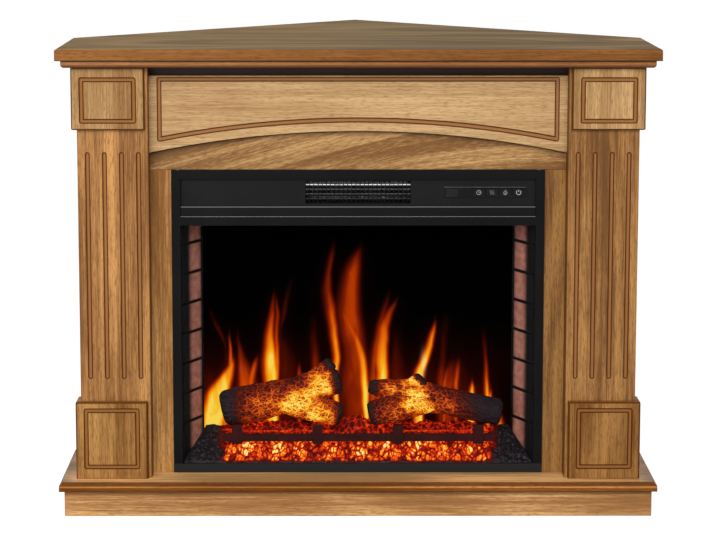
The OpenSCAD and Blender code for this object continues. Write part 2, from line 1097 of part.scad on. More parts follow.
module blower_motor() {
    color("#5b5f63")
        placed()
            translate([duct_half + duct_wall, blower_y, blower_z])
                rotate([0, 90, 0])
                    difference() {
                        union() {
                            cylinder(h = 3, r = motor_r + 3);
                            translate([0, 0, 3])
                                cylinder(h = motor_l - 3, r = motor_r);
                            translate([-motor_r, -motor_r - 3, 6])
                                cube([2 * motor_r, 2 * motor_r + 6, motor_l - 14]);
                        }
                        translate([0, 0, -over])
                            cylinder(h = motor_l / 2 + 2 * over, r = shaft_r + running_gap);
                    }
}

// ---- Insert: firebox ----

joint_w = 3;
brick_relief = 3;

// Face of a panel as a board from the glass to the screen, with bricks standing proud of it.
module brick_panel(side) {
    run_l = norm(panel_run);
    lean = atan2(panel_run.x, panel_run.y);
    top = ceiling_z;
    color("#7b4f44")
        placed()
            on_side(side)
                intersection() {
                    translate([panel_front_half, glass_back, 0])
                        rotate([0, 0, lean]) {
                            box([brick_relief, -over * 10, floor_z], [panel_t, run_l + over * 10, top]);
                            for (i = [-1 : ceil((top - first_joint) / course_h)])
                                brick(hearth_top + first_joint + i * course_h, run_l);
                        }
                    box([screen_half - panel_t, glass_back + fit_gap, floor_z],
                        [casing_in - fit_gap, screen_y - fit_gap, top]);
                }
}

module brick(z, run_l) {
    difference() {
        box([0, run_l * 0.08, z + joint_w / 2], [brick_relief + over, run_l * 0.86, z + course_h - joint_w / 2]);
        translate([0, run_l * 0.08, 0])
            linear_extrude(2 * total_h)
                rotate(180)
                    round_over(2.5);
        translate([0, run_l * 0.86, 0])
            linear_extrude(2 * total_h)
                rotate(90)
                    round_over(2.5);
    }
}

module brick_panel_left() {
    brick_panel(-1);
}

module brick_panel_right() {
    brick_panel(1);
}

module flame_screen() {
    color("#0c0a09")
        placed()
            box([-screen_half - 12, screen_y, floor_z], [screen_half + 12, screen_y + screen_t, ceiling_z]);
}

// ---- Insert: flame drive ----

module flame_rotor() {
    color("#d8dadc")
        placed()
            translate([0, rotor_y, rotor_z])
                rotate([0, 90, 0]) {
                    translate([0, 0, -rotor_half])
                        cylinder(h = 2 * rotor_half, r = shaft_r);
                    for (i = [0 : rotor_flaps - 1])
                        rotate([0, 0, i * 67])
                            translate([0, 0, (i - (rotor_flaps - 1) / 2) * (2 * rotor_half - 60) / rotor_flaps])
                                cube([rotor_flap, 0.8, 16], center = true);
                }
}

stand_t = 3;
rotor_stand = rotor_half - 8;

// A plate that stands on the casing's floor with a bearing hole on the rotor's axis.
module rotor_stand_plate(x0, x1) {
    difference() {
        union() {
            box([x0, rotor_y - 20, floor_z], [x1, rotor_y + 20, rotor_z]);
            translate([x0, rotor_y, rotor_z])
                rotate([0, 90, 0])
                    cylinder(h = x1 - x0, r = 20);
            box([x0 - 12, rotor_y - 20, floor_z], [x1, rotor_y + 20, floor_z + stand_t]);
        }
        translate([x0 - over, rotor_y, rotor_z])
            rotate([0, 90, 0])
                cylinder(h = x1 - x0 + 2 * over, r = shaft_r + running_gap);
    }
}

module rotor_bearing() {
    color(STEEL)
        placed()
            mirror([1, 0, 0]) {
                rotor_stand_plate(rotor_stand, rotor_stand + stand_t);
                translate([rotor_stand + stand_t, rotor_y, rotor_z])
                    rotate([0, 90, 0])
                        difference() {
                            cylinder(h = 6, r = 7);
                            translate([0, 0, -over])
                                cylinder(h = 6 + 2 * over, r = shaft_r + running_gap);
                        }
            }
}

module rotor_motor() {
    color("#5b5f63")
        placed() {
            rotor_stand_plate(rotor_stand, rotor_stand + stand_t);
            translate([rotor_stand + stand_t, rotor_y, rotor_z])
                rotate([0, 90, 0])
                    difference() {
                        cylinder(h = 18, r = motor_r);
                        translate([0, 0, -over])
                            cylinder(h = 8 + over, r = shaft_r + running_gap);
                    }
        }
}

lamp_w = 5;
lamp_t = 2;
strip_d = 16;
ember_lamp_half = coal_row / 2 - 20;
ember_lamp_y = glass_back + firebox_d / 2;
ember_lamp_h = 6;
ember_lamps = 18;

// A row of lamps on a channel that stands on the casing's floor.
module lamp_strip(half_w, y, height, count, grow) {
    box([-half_w - grow, y - strip_d / 2 - grow, floor_z],
        [half_w + grow, y + strip_d / 2 + grow, floor_z + height + grow]);
    for (i = [0 : count - 1]) {
        x = (i - (count - 1) / 2) * 2 * (half_w - 10) / count;
        box([x - lamp_w / 2 - grow, y - lamp_w / 2 - grow, floor_z + height],
            [x + lamp_w / 2 + grow, y + lamp_w / 2 + grow, floor_z + height + lamp_t + grow]);
    }
}

module flame_led_strip() {
    color("#e6e6df")
        placed()
            lamp_strip(rotor_half - 30, rotor_y, 14, 20, 0);
}

module ember_led_strip() {
    color("#e6e6df")
        placed()
            lamp_strip(ember_lamp_half, ember_lamp_y, ember_lamp_h, ember_lamps, 0);
}

// ---- Insert: fire bed ----

bed_gap = 1;
heap_pitch = 17;
heap_back = 30;
heap_h = 92;
heap_fall = 5;

// A number between 0 and 1 that looks irregular but is the same every time.
function scatter(i, seed) = (sin(i * 127.1 + seed * 311.7) * 437.58) - floor(sin(i * 127.1 + seed * 311.7) * 437.58);

// The bed's plan follows the glass, the two brick panels and the screen.
module bed_plan() {
    polygon([
        [-panel_front_half + bed_gap, glass_back + bed_gap], [panel_front_half - bed_gap, glass_back + bed_gap],
        [screen_half - 2 * bed_gap, screen_y - bed_gap], [2 * bed_gap - screen_half, screen_y - bed_gap]
    ]);
}

module bed_slope() {
    rotate([90, 0, 90])
        linear_extrude(insert_w, center = true)
            polygon([
                [glass_back, floor_z], [glass_back, hearth_top + bed_front_h],
                [screen_y, hearth_top + bed_back_h], [screen_y, floor_z]
            ]);
}

module coals() {
    coal_count = floor(coal_row / (coal_r * 1.6));
    for (i = [0 : coal_count - 1]) {
        x = (i - (coal_count - 1) / 2) * coal_row / coal_count;
        translate([x, glass_back + 8 + coal_r + 3 * scatter(i, 1), hearth_top + 38 + 6 * scatter(i, 2)])
            sphere(r = coal_r - 2 * scatter(i, 3));
        translate([x + coal_r / 2, glass_back + 44 + 4 * scatter(i, 4), hearth_top + 62 + 6 * scatter(i, 5)])
            sphere(r = coal_r + 3);
    }
    for (i = [-2 : 2])
        translate([i * heap_pitch, screen_y - heap_back, hearth_top + heap_h - heap_fall * abs(i)])
            sphere(r = coal_r + 3);
}

module ember_bed() {
    color("#b5451c")
        placed()
            difference() {
                intersection() {
                    union() {
                        bed_slope();
                        coals();
                    }
                    translate([0, 0, floor_z])
                        linear_extrude(insert_h)
                            bed_plan();
                }
                lamp_strip(ember_lamp_half, ember_lamp_y, ember_lamp_h, ember_lamps, fit_gap);
                grate_bars(fit_gap);
                for (log = logs)
                    log_body(log, fit_gap);
            }
}

grate_bar = 8;
post_w = 20;
post_side = 29;
post_pitch = (grate_w - 2 * post_side) / 3;

// The grate: a front bar, four posts and the bars that run back from them into the bed.
module grate_bars(grow) {
    y0 = glass_back + 5;
    z0 = hearth_top + grate_z;
    box([-grate_w / 2 - grow, y0 + 1 - grow, z0 - grow], [grate_w / 2 + grow, y0 + grate_bar + grow, z0 + 14 + grow]);
    for (i = [-1.5 : 1 : 1.5]) {
        x = i * post_pitch;
        box([x - post_w / 2 - grow, y0 - grow, z0 - 5 - grow],
            [x + post_w / 2 + grow, y0 + grate_bar + 2 + grow, z0 + 32 + grow]);
        box([x - 5 - grow, y0 + grate_bar - grow, z0 - grow],
            [x + 5 + grow, screen_y - 12 + grow, z0 + grate_bar + grow]);
    }
}

module fire_grate() {
    color("#1d1b1b")
        placed()
            difference() {
                grate_bars(0);
                for (log = logs)
                    log_body(log, fit_gap);
            }
}

// Each log: ends as [x, distance from the glass, height above the hearth slab], end radii.
UPPER_LEFT = [[36 - screen_half, 54, 108], [-38, 54, 166], 36, 24];
UPPER_RIGHT = [[30, 54, 150], [screen_half - 20, 54, 101], 21, 28];
LOWER_LEFT = [[-150, 33, 120], [-36, 33, 102], 27, 24];
LOWER_RIGHT = [[26, 31, 107], [146, 31, 121], 25, 23];
logs = [UPPER_LEFT, UPPER_RIGHT, LOWER_LEFT, LOWER_RIGHT];

// A tapering round from one end to the other, flat where it leans on the screen.
module log_body(log, grow) {
    start = log[0] + [0, glass_back, hearth_top];
    step = log[1] - log[0];
    length = norm(step);
    intersection() {
        translate(start)
            rotate([0, 90 - atan2(step.z, step.x), 0])
                translate([0, 0, -grow])
                    cylinder(h = length + 2 * grow, r1 = log[2] + grow, r2 = log[3] + grow);
        box([-insert_w / 2, glass_back + fit_gap, floor_z], [insert_w / 2, screen_y - fit_gap, ceiling_z]);
    }
}

branch_l = 38;
branch_r = 14;

// A round stub of a branch on a log, standing off its axis.
module branch(log, share, lean) {
    start = log[0] + [0, glass_back, hearth_top];
    step = log[1] - log[0];
    translate(start + share * step)
        rotate([0, lean, 0])
            cylinder(h = branch_l, r1 = branch_r, r2 = branch_r * 0.8);
}

module upper_log_left() {
    color("#4a2a1e")
        placed() {
            log_body(UPPER_LEFT, 0);
            branch(UPPER_LEFT, 0.86, 20);
        }
}

module upper_log_right() {
    color("#4a2a1e")
        placed() {
            log_body(UPPER_RIGHT, 0);
            branch(UPPER_RIGHT, 0.4, -20);
        }
}

module lower_log_left() {
    color("#5a3020")
        placed()
            difference() {
                log_body(LOWER_LEFT, 0);
                log_body(UPPER_LEFT, fit_gap);
            }
}

module lower_log_right() {
    color("#5a3020")
        placed()
            difference() {
                log_body(LOWER_RIGHT, 0);
                log_body(UPPER_RIGHT, fit_gap);
            }
}

mantel_top();
crown_moulding_front();
crown_moulding_left();
crown_moulding_right();
surround_header();
surround_stile_left();
surround_stile_right();
frieze_panel();
pilaster_left();
pilaster_right();
capital_block_left();
capital_block_right();
base_block_left();
base_block_right();
side_panel_left();
side_panel_right();
hearth_slab();
plinth_front();
plinth_left();
plinth_right();
plinth_rail_left();
plinth_rail_right();
corner_brackets();
front_frame();
fascia_panel();
trim_rail();
outlet_grille();
control_strip();
display_window();
timer_key();
heater_key();
flame_key();
power_key();
control_board();
front_glass();
insert_casing();
rear_cover();
cable_gland();
insert_brackets();
firebox_ceiling();
heater_duct();
heating_element();
blower_wheel();
blower_motor();
brick_panel_left();
brick_panel_right();
flame_screen();
flame_rotor();
rotor_motor();
rotor_bearing();
flame_led_strip();
ember_led_strip();
ember_bed();
fire_grate();
upper_log_left();
upper_log_right();
lower_log_left();
lower_log_right();
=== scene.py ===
"""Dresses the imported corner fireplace: studio, materials, and the pieces that its solids leave plain."""

import itertools
import math

import bpy
import numpy as np
from mathutils import Matrix, Vector


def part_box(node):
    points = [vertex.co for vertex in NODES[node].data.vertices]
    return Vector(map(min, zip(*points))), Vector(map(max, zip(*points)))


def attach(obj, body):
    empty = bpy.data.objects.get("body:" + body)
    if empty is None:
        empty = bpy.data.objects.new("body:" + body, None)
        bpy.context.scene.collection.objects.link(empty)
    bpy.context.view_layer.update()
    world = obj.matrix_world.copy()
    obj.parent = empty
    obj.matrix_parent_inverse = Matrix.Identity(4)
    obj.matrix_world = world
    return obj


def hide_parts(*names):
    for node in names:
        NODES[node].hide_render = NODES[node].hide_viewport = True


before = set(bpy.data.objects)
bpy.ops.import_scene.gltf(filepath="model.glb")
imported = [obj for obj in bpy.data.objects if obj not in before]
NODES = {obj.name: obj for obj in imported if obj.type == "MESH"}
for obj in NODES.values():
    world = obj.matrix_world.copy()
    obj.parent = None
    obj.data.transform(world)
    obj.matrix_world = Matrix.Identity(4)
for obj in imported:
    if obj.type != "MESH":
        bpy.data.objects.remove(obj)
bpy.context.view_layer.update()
ROOT = "fireplace"

# Places and lengths are in millimetres: x to the right, d back from the mantel's front edge, z up.
# Inside the shaders they are in metres.
MM = 0.001
FRONT_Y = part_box("mantel_top")[0].y
GLASS_D = 84.0
SCREEN_D = 164.0
HEARTH_Z = 68.0
ARCH_END = 395.0
ARCH_RISE = 41.0
ARCH_TOP = 734.0
HEADER_TOP = 839.0
FIRST_JOINT = 93.0
COURSE = 58.3
# A brick panel's front edge, and how its face leans inwards: its normal's x and y.
PANEL_EDGE = 339.5
PANEL_LEAN = (0.888, 0.4607)


def at(x, d, z):
    """A point of the shared frame, in metres, from millimetres."""
    return np.stack(np.broadcast_arrays(x * MM, FRONT_Y + d * MM, z * MM), axis=-1)


def smooth(low, high, value):
    """0 below low, 1 above high, and a smooth step between them."""
    t = np.clip((value - low) / (high - low), 0, 1)
    return t * t * (3 - 2 * t)


def bump(distance, radius=1.0):
    """A bell of height 1 and half-width radius."""
    return np.exp(-((distance / radius) ** 2))


# -------- noise on points

def lattice(cell, seed):
    """Random numbers from 0 to 1 for whole-number cells, three for each."""
    i, j, k = (cell[..., a].astype(np.int64) for a in range(3))
    mixed = (i * 73856093) ^ (j * 19349663) ^ (k * 83492791) ^ (seed * 40503)
    out = []
    for turn in range(3):
        mixed = (mixed ^ (mixed >> 13)) * (1274126177 + 2 * turn) & 0x7FFFFFFF
        mixed = (mixed ^ (mixed >> 16)) * 22695477 & 0x7FFFFFFF
        out.append((mixed % 65536) / 65535.0)
    return np.stack(out, axis=-1)


def value_noise(points, seed=0):
    """Smooth noise from -1 to 1."""
    base = np.floor(points)
    share = smooth(0, 1, points - base)
    total = 0.0
    for step in itertools.product((0, 1), repeat=3):
        weight = np.prod(np.where(step, share, 1 - share), axis=-1)
        total = total + lattice(base + step, seed)[..., 0] * weight
    return 2 * total - 1


def fractal(points, octaves=3, seed=0):
    """Layers of smooth noise, each half as large and half as strong as the last."""
    return sum(0.5 ** (n + 1) * value_noise(points * 2.0 ** n, seed + n) for n in range(octaves))


def cells(points, seed=0):
    """Distances to the nearest and second nearest of the scattered cell centres."""
    base = np.floor(points)
    first = np.full(points.shape[:-1], 9.0)
    second = first.copy()
    for step in itertools.product((-1, 0, 1), repeat=3):
        cell = base + step
        gap = np.linalg.norm(cell + lattice(cell, seed) - points, axis=-1)
        second = np.minimum(second, np.maximum(first, gap))
        first = np.minimum(first, gap)
    return first, second


# -------- colours and shader graphs

def srgb(red, green, blue):
    """A colour written as 0 to 255 on screen, as the shader's linear one."""
    def linear(value):
        share = value / 255
        return share / 12.92 if share <= 0.04045 else ((share + 0.055) / 1.055) ** 2.4
    return (linear(red), linear(green), linear(blue), 1.0)


def paint(value):
    """A screen colour of three numbers made linear; anything else as it is."""
    return srgb(*value) if isinstance(value, tuple) and len(value) == 3 else value


def tinted(colour, factor, lift=0.0):
    """A screen colour made linear, times factor, plus lift."""
    return tuple(c * factor + lift for c in srgb(*colour)[:3]) + (1.0,)


class Signal:
    """A value that flows through a graph. Sums and products of signals add nodes to it."""

    def __init__(self, graph, socket):
        self.graph = graph
        self.socket = socket

    def __add__(self, other):
        return self.graph.math("ADD", self, other)

    def __mul__(self, other):
        return self.graph.math("MULTIPLY", self, other)

    def __sub__(self, number):
        return self + -number


class Graph:
    """The shader nodes of a material or a world."""

    def __init__(self, owner):
        owner.use_nodes = True
        self.tree = owner.node_tree
        self.tree.nodes.clear()

    def node(self, kind, inputs=None, **settings):
        made = self.tree.nodes.new("ShaderNode" + kind)
        for key, value in settings.items():
            setattr(made, key, value)
        for key, value in (inputs or {}).items():
            self.feed(made.inputs[key], value)
        return made

    def feed(self, socket, value):
        if isinstance(value, Signal):
            self.tree.links.new(value.socket, socket)
        else:
            socket.default_value = value

    def flow(self, kind, inputs=None, output=0, **settings):
        """The signal from one output of a new node."""
        return Signal(self, self.node(kind, inputs, **settings).outputs[output])

    def math(self, operation, a, b=0.5):
        return self.flow("Math", {0: a, 1: b}, operation=operation)

    def larger(self, a, b):
        return self.math("MAXIMUM", a, b)

    def absolute(self, a):
        return self.math("ABSOLUTE", a)

    def choose(self, plain, seen):
        """One shader for most rays, and one for those that look at the background: from the
        camera, off gloss and through glass."""
        path = self.node("LightPath")
        looks = Signal(self, path.outputs["Is Camera Ray"])
        for name in ("Is Glossy Ray", "Is Transmission Ray"):
            looks = self.larger(looks, Signal(self, path.outputs[name]))
        return self.flow("MixShader", {0: looks, 1: plain, 2: seen})


class Shader(Graph):
    """One material, built as a graph of nodes round a Principled shader."""

    def __init__(self, name):
        self.material = bpy.data.materials.new(name)
        super().__init__(self.material)
        self.surface = self.node("BsdfPrincipled")
        self.node("OutputMaterial", {"Surface": Signal(self, self.surface.outputs[0])})
        self.place = self.flow("TexCoord", output="Object")
        self.x, self.y, self.z = self.parts(self.place)

    def finish(self, **inputs):
        """Sets inputs of the Principled shader, with _ for a space, and gives the material."""
        for key, value in inputs.items():
            value = paint(value) if key.endswith("Color") else value
            self.feed(self.surface.inputs[key.replace("_", " ")], value)
        return self.material

    def span(self, value, low, high, start=0.0, end=1.0):
        """Value from low to high becomes start to end, with smooth shoulders."""
        inputs = {"Value": value, "From Min": low, "From Max": high, "To Min": start, "To Max": end}
        return self.flow("MapRange", inputs, interpolation_type="SMOOTHSTEP")

    def parts(self, vector):
        return [Signal(self, socket) for socket in self.node("SeparateXYZ", {0: vector}).outputs]

    def facing(self):
        return self.parts(self.flow("NewGeometry", output="Normal"))

    def join(self, x, y, z):
        return self.flow("CombineXYZ", {0: x, 1: y, 2: z})

    def scaled(self, scale, vector=None):
        """The place, or another vector, times one number or (x, y, z)."""
        scale = scale if isinstance(scale, tuple) else (scale, scale, scale)
        return self.flow("VectorMath", {0: vector or self.place, 1: scale}, operation="MULTIPLY")

    def bent(self, scale, detail, reach):
        """The place, pushed about by noise."""
        push = self.flow("TexNoise", {"Vector": self.place, "Scale": scale, "Detail": detail}, "Color")
        push = self.flow("VectorMath", {0: push, "Scale": reach}, operation="SCALE")
        return self.flow("VectorMath", {0: self.place, 1: push}, operation="ADD")

    def noise(self, scale, detail=2.0, vector=None, rough=0.5, warp=0.0):
        """Noise of so many cells for each metre."""
        inputs = {"Vector": self.scaled(scale, vector), "Scale": 1.0, "Detail": detail,
                  "Roughness": rough, "Distortion": warp}
        return self.flow("TexNoise", inputs)

    def scattered(self, scale, output="Distance", vector=None, feature="F1"):
        inputs = {"Vector": self.scaled(scale, vector), "Scale": 1.0}
        return self.flow("TexVoronoi", inputs, output, feature=feature)

    def cracks(self, scale, vector=None):
        """Distance to the edge between scattered cells."""
        return self.scattered(scale, "Distance", vector, "DISTANCE_TO_EDGE")

    def ramp(self, value, stops):
        made = self.node("ValToRGB", {0: value})
        band = made.color_ramp
        band.elements[0].position = stops[0][0]
        band.elements[-1].position = stops[-1][0]
        for position, colour in stops[1:-1]:
            band.elements.new(position)
        for element, (position, colour) in zip(band.elements, stops):
            element.color = paint(colour)
        return Signal(self, made.outputs[0])

    def mix(self, share, a, b, blend="MIX"):
        inputs = {0: share, 6: paint(a), 7: paint(b)}
        return self.flow("Mix", inputs, 2, data_type="RGBA", blend_type=blend)

    def relief(self, height, strength, depth, edges=None):
        """A bumpy normal, over edges rounded by a radius in metres."""
        inputs = {"Height": height, "Strength": strength, "Distance": depth}
        if edges:
            inputs["Normal"] = self.flow("Bevel", {"Radius": edges}, samples=4)
        return self.flow("Bump", inputs)

    def attribute(self, name):
        return self.flow("Attribute", output="Fac", attribute_name=name)


def dress(material, *names):
    """Gives CAD nodes a material."""
    for name in names:
        slots = NODES[name].data.materials
        slots.clear()
        slots.append(material)


def put(name, data):
    """A new object in the scene."""
    made = bpy.data.objects.new(name, data)
    bpy.context.scene.collection.objects.link(made)
    return made


def make_piece(name, vertices, faces, material, slot, body=ROOT, rounded=True, **attributes):
    """A mesh piece from points in metres, riding on a body."""
    mesh = bpy.data.meshes.new(name)
    mesh.from_pydata([tuple(v) for v in vertices], [], [tuple(f) for f in faces])
    mesh.update()
    for key, values in attributes.items():
        mesh.attributes.new(key, "FLOAT", "POINT").data.foreach_set("value", np.asarray(values, np.float32))
    if rounded:
        mesh.shade_smooth()
    mesh.materials.append(material)
    piece = put(name, mesh)
    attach(piece, body)
    return piece


def grid_faces(rows, columns, closed=False):
    """Quads of a grid stored row after row; closed joins the last column to the first."""
    index = np.arange(rows * columns).reshape(rows, columns)
    if closed:
        index = np.concatenate([index, index[:, :1]], axis=1)
    quads = np.stack([index[:-1, :-1], index[:-1, 1:], index[1:, 1:], index[1:, :-1]], axis=-1)
    return quads.reshape(-1, 4)


# -------- camera and studio

# Places and sizes in the studio are in metres, the lens is in millimetres and angles are in degrees.
CAMERA_PLACE = (-0.0406, -4.6285, 1.2174)
CAMERA_LEAN = 7.76
CAMERA_TURN = -0.135
CAMERA_LENS = 113.72
CAMERA_SHIFT = (0.0236, -0.12)
SKY = 0.44
KEY_POWER = 92
FILL_POWER = 46
STUDIO_AIM = (0, 0, 0.45)
FLOOR_HALF = 30
FLOOR_DROP = 0.0005
WHITE = (1, 1, 1, 1)


def make_camera():
    data = bpy.data.cameras.new("photo_camera")
    data.sensor_width = 36
    data.lens = CAMERA_LENS
    data.shift_x, data.shift_y = CAMERA_SHIFT
    camera = put("photo_camera", data)
    camera.location = CAMERA_PLACE
    camera.rotation_euler = (math.radians(90 - CAMERA_LEAN), 0, math.radians(CAMERA_TURN))
    bpy.context.scene.camera = camera


def make_world():
    world = bpy.data.worlds.new("studio")
    g = Graph(world)
    sky = g.flow("Background", {0: (1, 0.99, 0.98, 1), 1: SKY})
    g.node("OutputWorld", {0: g.choose(sky, g.flow("Background", {0: WHITE}))})
    bpy.context.scene.world = world


def make_floor():
    mesh = bpy.data.meshes.new("studio_floor")
    corners = [(-1, -1), (1, -1), (1, 1), (-1, 1)]
    mesh.from_pydata([(x * FLOOR_HALF, y * FLOOR_HALF, -FLOOR_DROP) for x, y in corners], [], [(0, 1, 2, 3)])
    floor = put("studio_floor", mesh)
    material = bpy.data.materials.new("studio_floor")
    g = Graph(material)
    matt = g.flow("BsdfDiffuse", {0: (0.5, 0.5, 0.5, 1)})
    bright = g.flow("AddShader", {0: matt, 1: g.flow("Emission", {0: WHITE, 1: 0.8})})
    g.node("OutputMaterial", {0: g.choose(matt, bright)})
    mesh.materials.append(material)


def make_lamp(name, place, size, power):
    data = bpy.data.lights.new(name, "AREA")
    data.shape = "RECTANGLE"
    data.size, data.size_y = size
    data.energy = power
    lamp = put(name, data)
    lamp.location = place
    lamp.rotation_euler = (Vector(STUDIO_AIM) - Vector(place)).to_track_quat("-Z", "Y").to_euler()


def make_studio():
    make_world()
    make_floor()
    make_lamp("key_lamp", (0.2, -3.6, 2.7), (2.8, 1.6), KEY_POWER)
    make_lamp("fill_lamp", (-1.6, -3.2, 1.5), (2.0, 2.0), FILL_POWER)
    bpy.context.scene.view_settings.view_transform = "Standard"


# -------- wood

STAIN = (142, 92, 46)
# The grooves' dark edges: part stain, part painted shade.
STAIN_AND_SHADE_EDGE = (70, 28, 0)
# Painted shadow on the header, under the frieze's arch and under the crown.
PAINTED_SHADOW = (44, 24, 8)
# Dark lines at the blocks' edges: part stain, part painted shade where they meet their neighbours.
RIM_STAIN_AND_SHADE = (92, 52, 8)

# Tones of veneer, light and dark; the last three have them for left and right.
DEEP = ((190, 136, 78), (122, 78, 34))
FAIR = ((178, 128, 72), (112, 72, 32))
STILES = (((206, 154, 90), (136, 88, 38)), ((154, 109, 56), (98, 60, 23)))
CAPITALS = (((180, 142, 94), (138, 99, 58)), ((196, 158, 108), (152, 114, 70)))
BASES = (((176, 129, 74), (122, 80, 38)), ((163, 116, 65), (112, 72, 33)))

# Painted highlights and shade on the mouldings, as steps of height and brightness.
MANTEL_LIGHT_TIERS = [(870, 0.2), (871.6, 0.3), (873, 0.95), (893, 1.0)]
HEARTH_LIGHT_TIERS = [(50, 0.12), (51.5, 0.32), (57, 0.42), (58.4, 1.0), (59.8, 1.0), (61, 0.32), (66, 0.27),
                (68, 0.42)]
CROWN_LIGHT_TIERS = [(857, 0.08), (859, 0.22), (862, 0.4), (865, 0.9), (868, 0.9), (869.2, 0.1), (871, 0.06)]


class Oak(Shader):
    """Oak veneer, with what is moulded, stained or shaded on it."""

    def __init__(self, node, grain, tones, seed, bands, slant, dash, depth):
        super().__init__("oak_" + node)
        z = self.z
        if slant:
            past = self.larger(self.x, 0.0)
            z = z + self.x * -slant[0] + past * past * slant[1]
        along, across = (self.x, z) if grain == "x" else (z, self.x)
        if grain == "wall":
            along, across = self.x + self.y, z
        along = along + seed * 1.7
        wood = self.join(along, across, self.y)
        board = self.join(along, across, self.y * depth)
        self.drift = self.noise((1.0, 12.0, 12.0), 3.0, board)
        field = self.noise((0.7, 5.0, 5.0), 1.5, board)
        self.rings = self.math("SINE", field * 62.0 + self.drift * 9.0)
        self.streaks = self.noise((1.7, 120.0, 120.0), 4.0, wood, 0.62)
        self.fibres = self.noise((dash, 400.0, 400.0), 3.0, wood, 0.65)
        self.pores = self.span(self.noise((70.0, 480.0, 480.0), 2.0, wood), 0.5, 0.68)
        tone = (self.drift - 0.5) * (1.2 * bands) + self.rings * (0.08 * bands)
        tone = tone + (self.streaks - 0.5) * 0.95 + (self.fibres - 0.5)
        self.tone = self.flow("Clamp", {0: tone + 0.55})
        self.colour = self.stained(*tones)

    def stained(self, light, dark):
        """The veneer's colour, between a light and a dark one."""
        middle = tuple((a + b) * 0.495 for a, b in zip(srgb(*light)[:3], srgb(*dark)[:3])) + (1.0,)
        stops = [(0.0, tinted(dark, 0.74)), (0.3, dark), (0.55, middle), (0.8, light),
                 (1.0, tinted(light, 1.12))]
        return self.mix(self.pores * 0.5, self.ramp(self.tone, stops), tinted(dark, 0.6))

    def paint_moulding_light(self, tiers):
        """Paints highlights and shade on a moulding by its tiers."""
        foot, head = tiers[0][0], tiers[-1][0]
        level = self.math("DIVIDE", self.z - foot * MM, (head - foot) * MM)
        steps = [((h - foot) / (head - foot), (f, f ** 1.15, f ** 1.4, 1.0)) for h, f in tiers]
        self.colour = self.mix(1.0, self.colour, self.ramp(level, steps), "MULTIPLY")

    def cover(self, top, height, ends):
        """Gives the face at this height its own colour as painted light, for how the light falls on
        it, and darker past the ends as painted shade.
        """
        veneer = (self.tone - 0.55) * 1.1 + self.rings * 0.1 + (self.drift - 0.5) * 0.7
        upper = self.mix(self.span(veneer, -0.4, 0.4), tinted(top, 0.46), tinted(top, 1.15))
        if ends:
            dim = self.span(self.absolute(self.x), ends[0] * MM, ends[1] * MM, 1.0, 0.5)
            upper = self.mix(1.0, upper, self.join(dim, dim, dim), "MULTIPLY")
        crest = self.span(self.z, (height - 1.3) * MM, (height - 0.5) * MM)
        self.colour = self.mix(crest * self.span(self.facing()[2], 0.5, 0.9), self.colour, upper)

    def rout(self, face):
        """Stains the routed edges of the face at this depth, darker at the grooves' edges as part
        stain and part painted shade.
        """
        depth = self.y - (FRONT_Y + face * MM)
        inner = self.span(self.facing()[0] * self.math("SIGN", self.x), -0.4, -0.8)
        far = self.larger(self.span(depth, 0.014, 0.007), inner)
        edge = self.larger(self.span(depth, 0.003, 0.0021), self.span(depth, 0.006, 0.008))
        routed = self.span(depth, 0.0001, 0.0005) * far * 0.92
        self.colour = self.mix(routed, self.colour, self.mix(edge, STAIN, STAIN_AND_SHADE_EDGE))

    def rim(self, axis, place, reach):
        """Draws a dark line at a place along an axis: part stain of the edge, part painted shade."""
        gap = self.absolute((self.x if axis == "x" else self.z) - place * MM)
        line = self.span(gap, reach * MM, reach * MM * 0.6, 0.0, 0.9)
        self.colour = self.mix(self.span(self.facing()[2], 0.9, 0.5) * line, self.colour, RIM_STAIN_AND_SHADE)

    def shade(self, radius):
        """Paints shadow on the header along an arch of this radius and under the crown moulding."""
        rise = self.z - (ARCH_TOP - radius) * MM
        line = self.math("SQRT", self.x * self.x + rise * rise)
        under = self.span(line, (radius - 5.5) * MM, (radius - 2.5) * MM, 0.0, 0.9)
        under = under * self.span(self.absolute(self.x), (ARCH_END + 1) * MM, (ARCH_END - 1) * MM)
        hidden = self.span(self.z, (HEADER_TOP - 4) * MM, HEADER_TOP * MM)
        self.colour = self.mix(self.larger(under, hidden), self.colour, PAINTED_SHADOW)


def oak(node, grain, tones, seed, bands=1.0, slant=None, face=None, top=None, sheen=0.46, gloss=0.2,
        rims=(), tiers=(), arch=None, dash=16.0, ends=None):
    """Veneers a node with oak. tones are its light and dark colours, and grain is the axis it runs
    along; slant is how it leans and curls; face is the depth of the face whose routed edges are
    stained, darker at the grooves' edges as part stain and part painted shade; top is the colour
    of the highest face as painted light, darker past the ends as painted shade; rims are dark lines
    (axis, place, reach), part stain and part painted shade; tiers are (height, factor) steps of
    painted highlight and shade on a moulding, and arch is the radius of the board's foot in
    painted shadow. Places and lengths are in millimetres."""
    s = Oak(node, grain, tones, seed, bands, slant, dash, 0.6 if top else 1.0)
    if tiers:
        s.paint_moulding_light(tiers)
    if top:
        s.cover(top, tiers[-1][0], ends)
    if face:
        s.rout(face)
    for line in rims:
        s.rim(*line)
    if arch:
        s.shade(arch)
    normal = s.relief(s.fibres * 0.5 + s.pores * -0.8, 0.2, 0.0004, 0.0014)
    dress(s.finish(Base_Color=s.colour, Roughness=s.streaks * 0.16 + (sheen - 0.08), Normal=normal,
                   Specular_IOR_Level=gloss), node)


def block_rims(node, reach):
    """Dark lines along a block's inner, lower and upper edges, where it meets its neighbours: part
    stain, part painted shade.
    """
    low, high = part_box(node)
    inner = high.x if high.x < 0 else low.x
    return [("x", inner / MM, reach[0]), ("z", low.z / MM, reach[1]), ("z", high.z / MM, reach[2])]


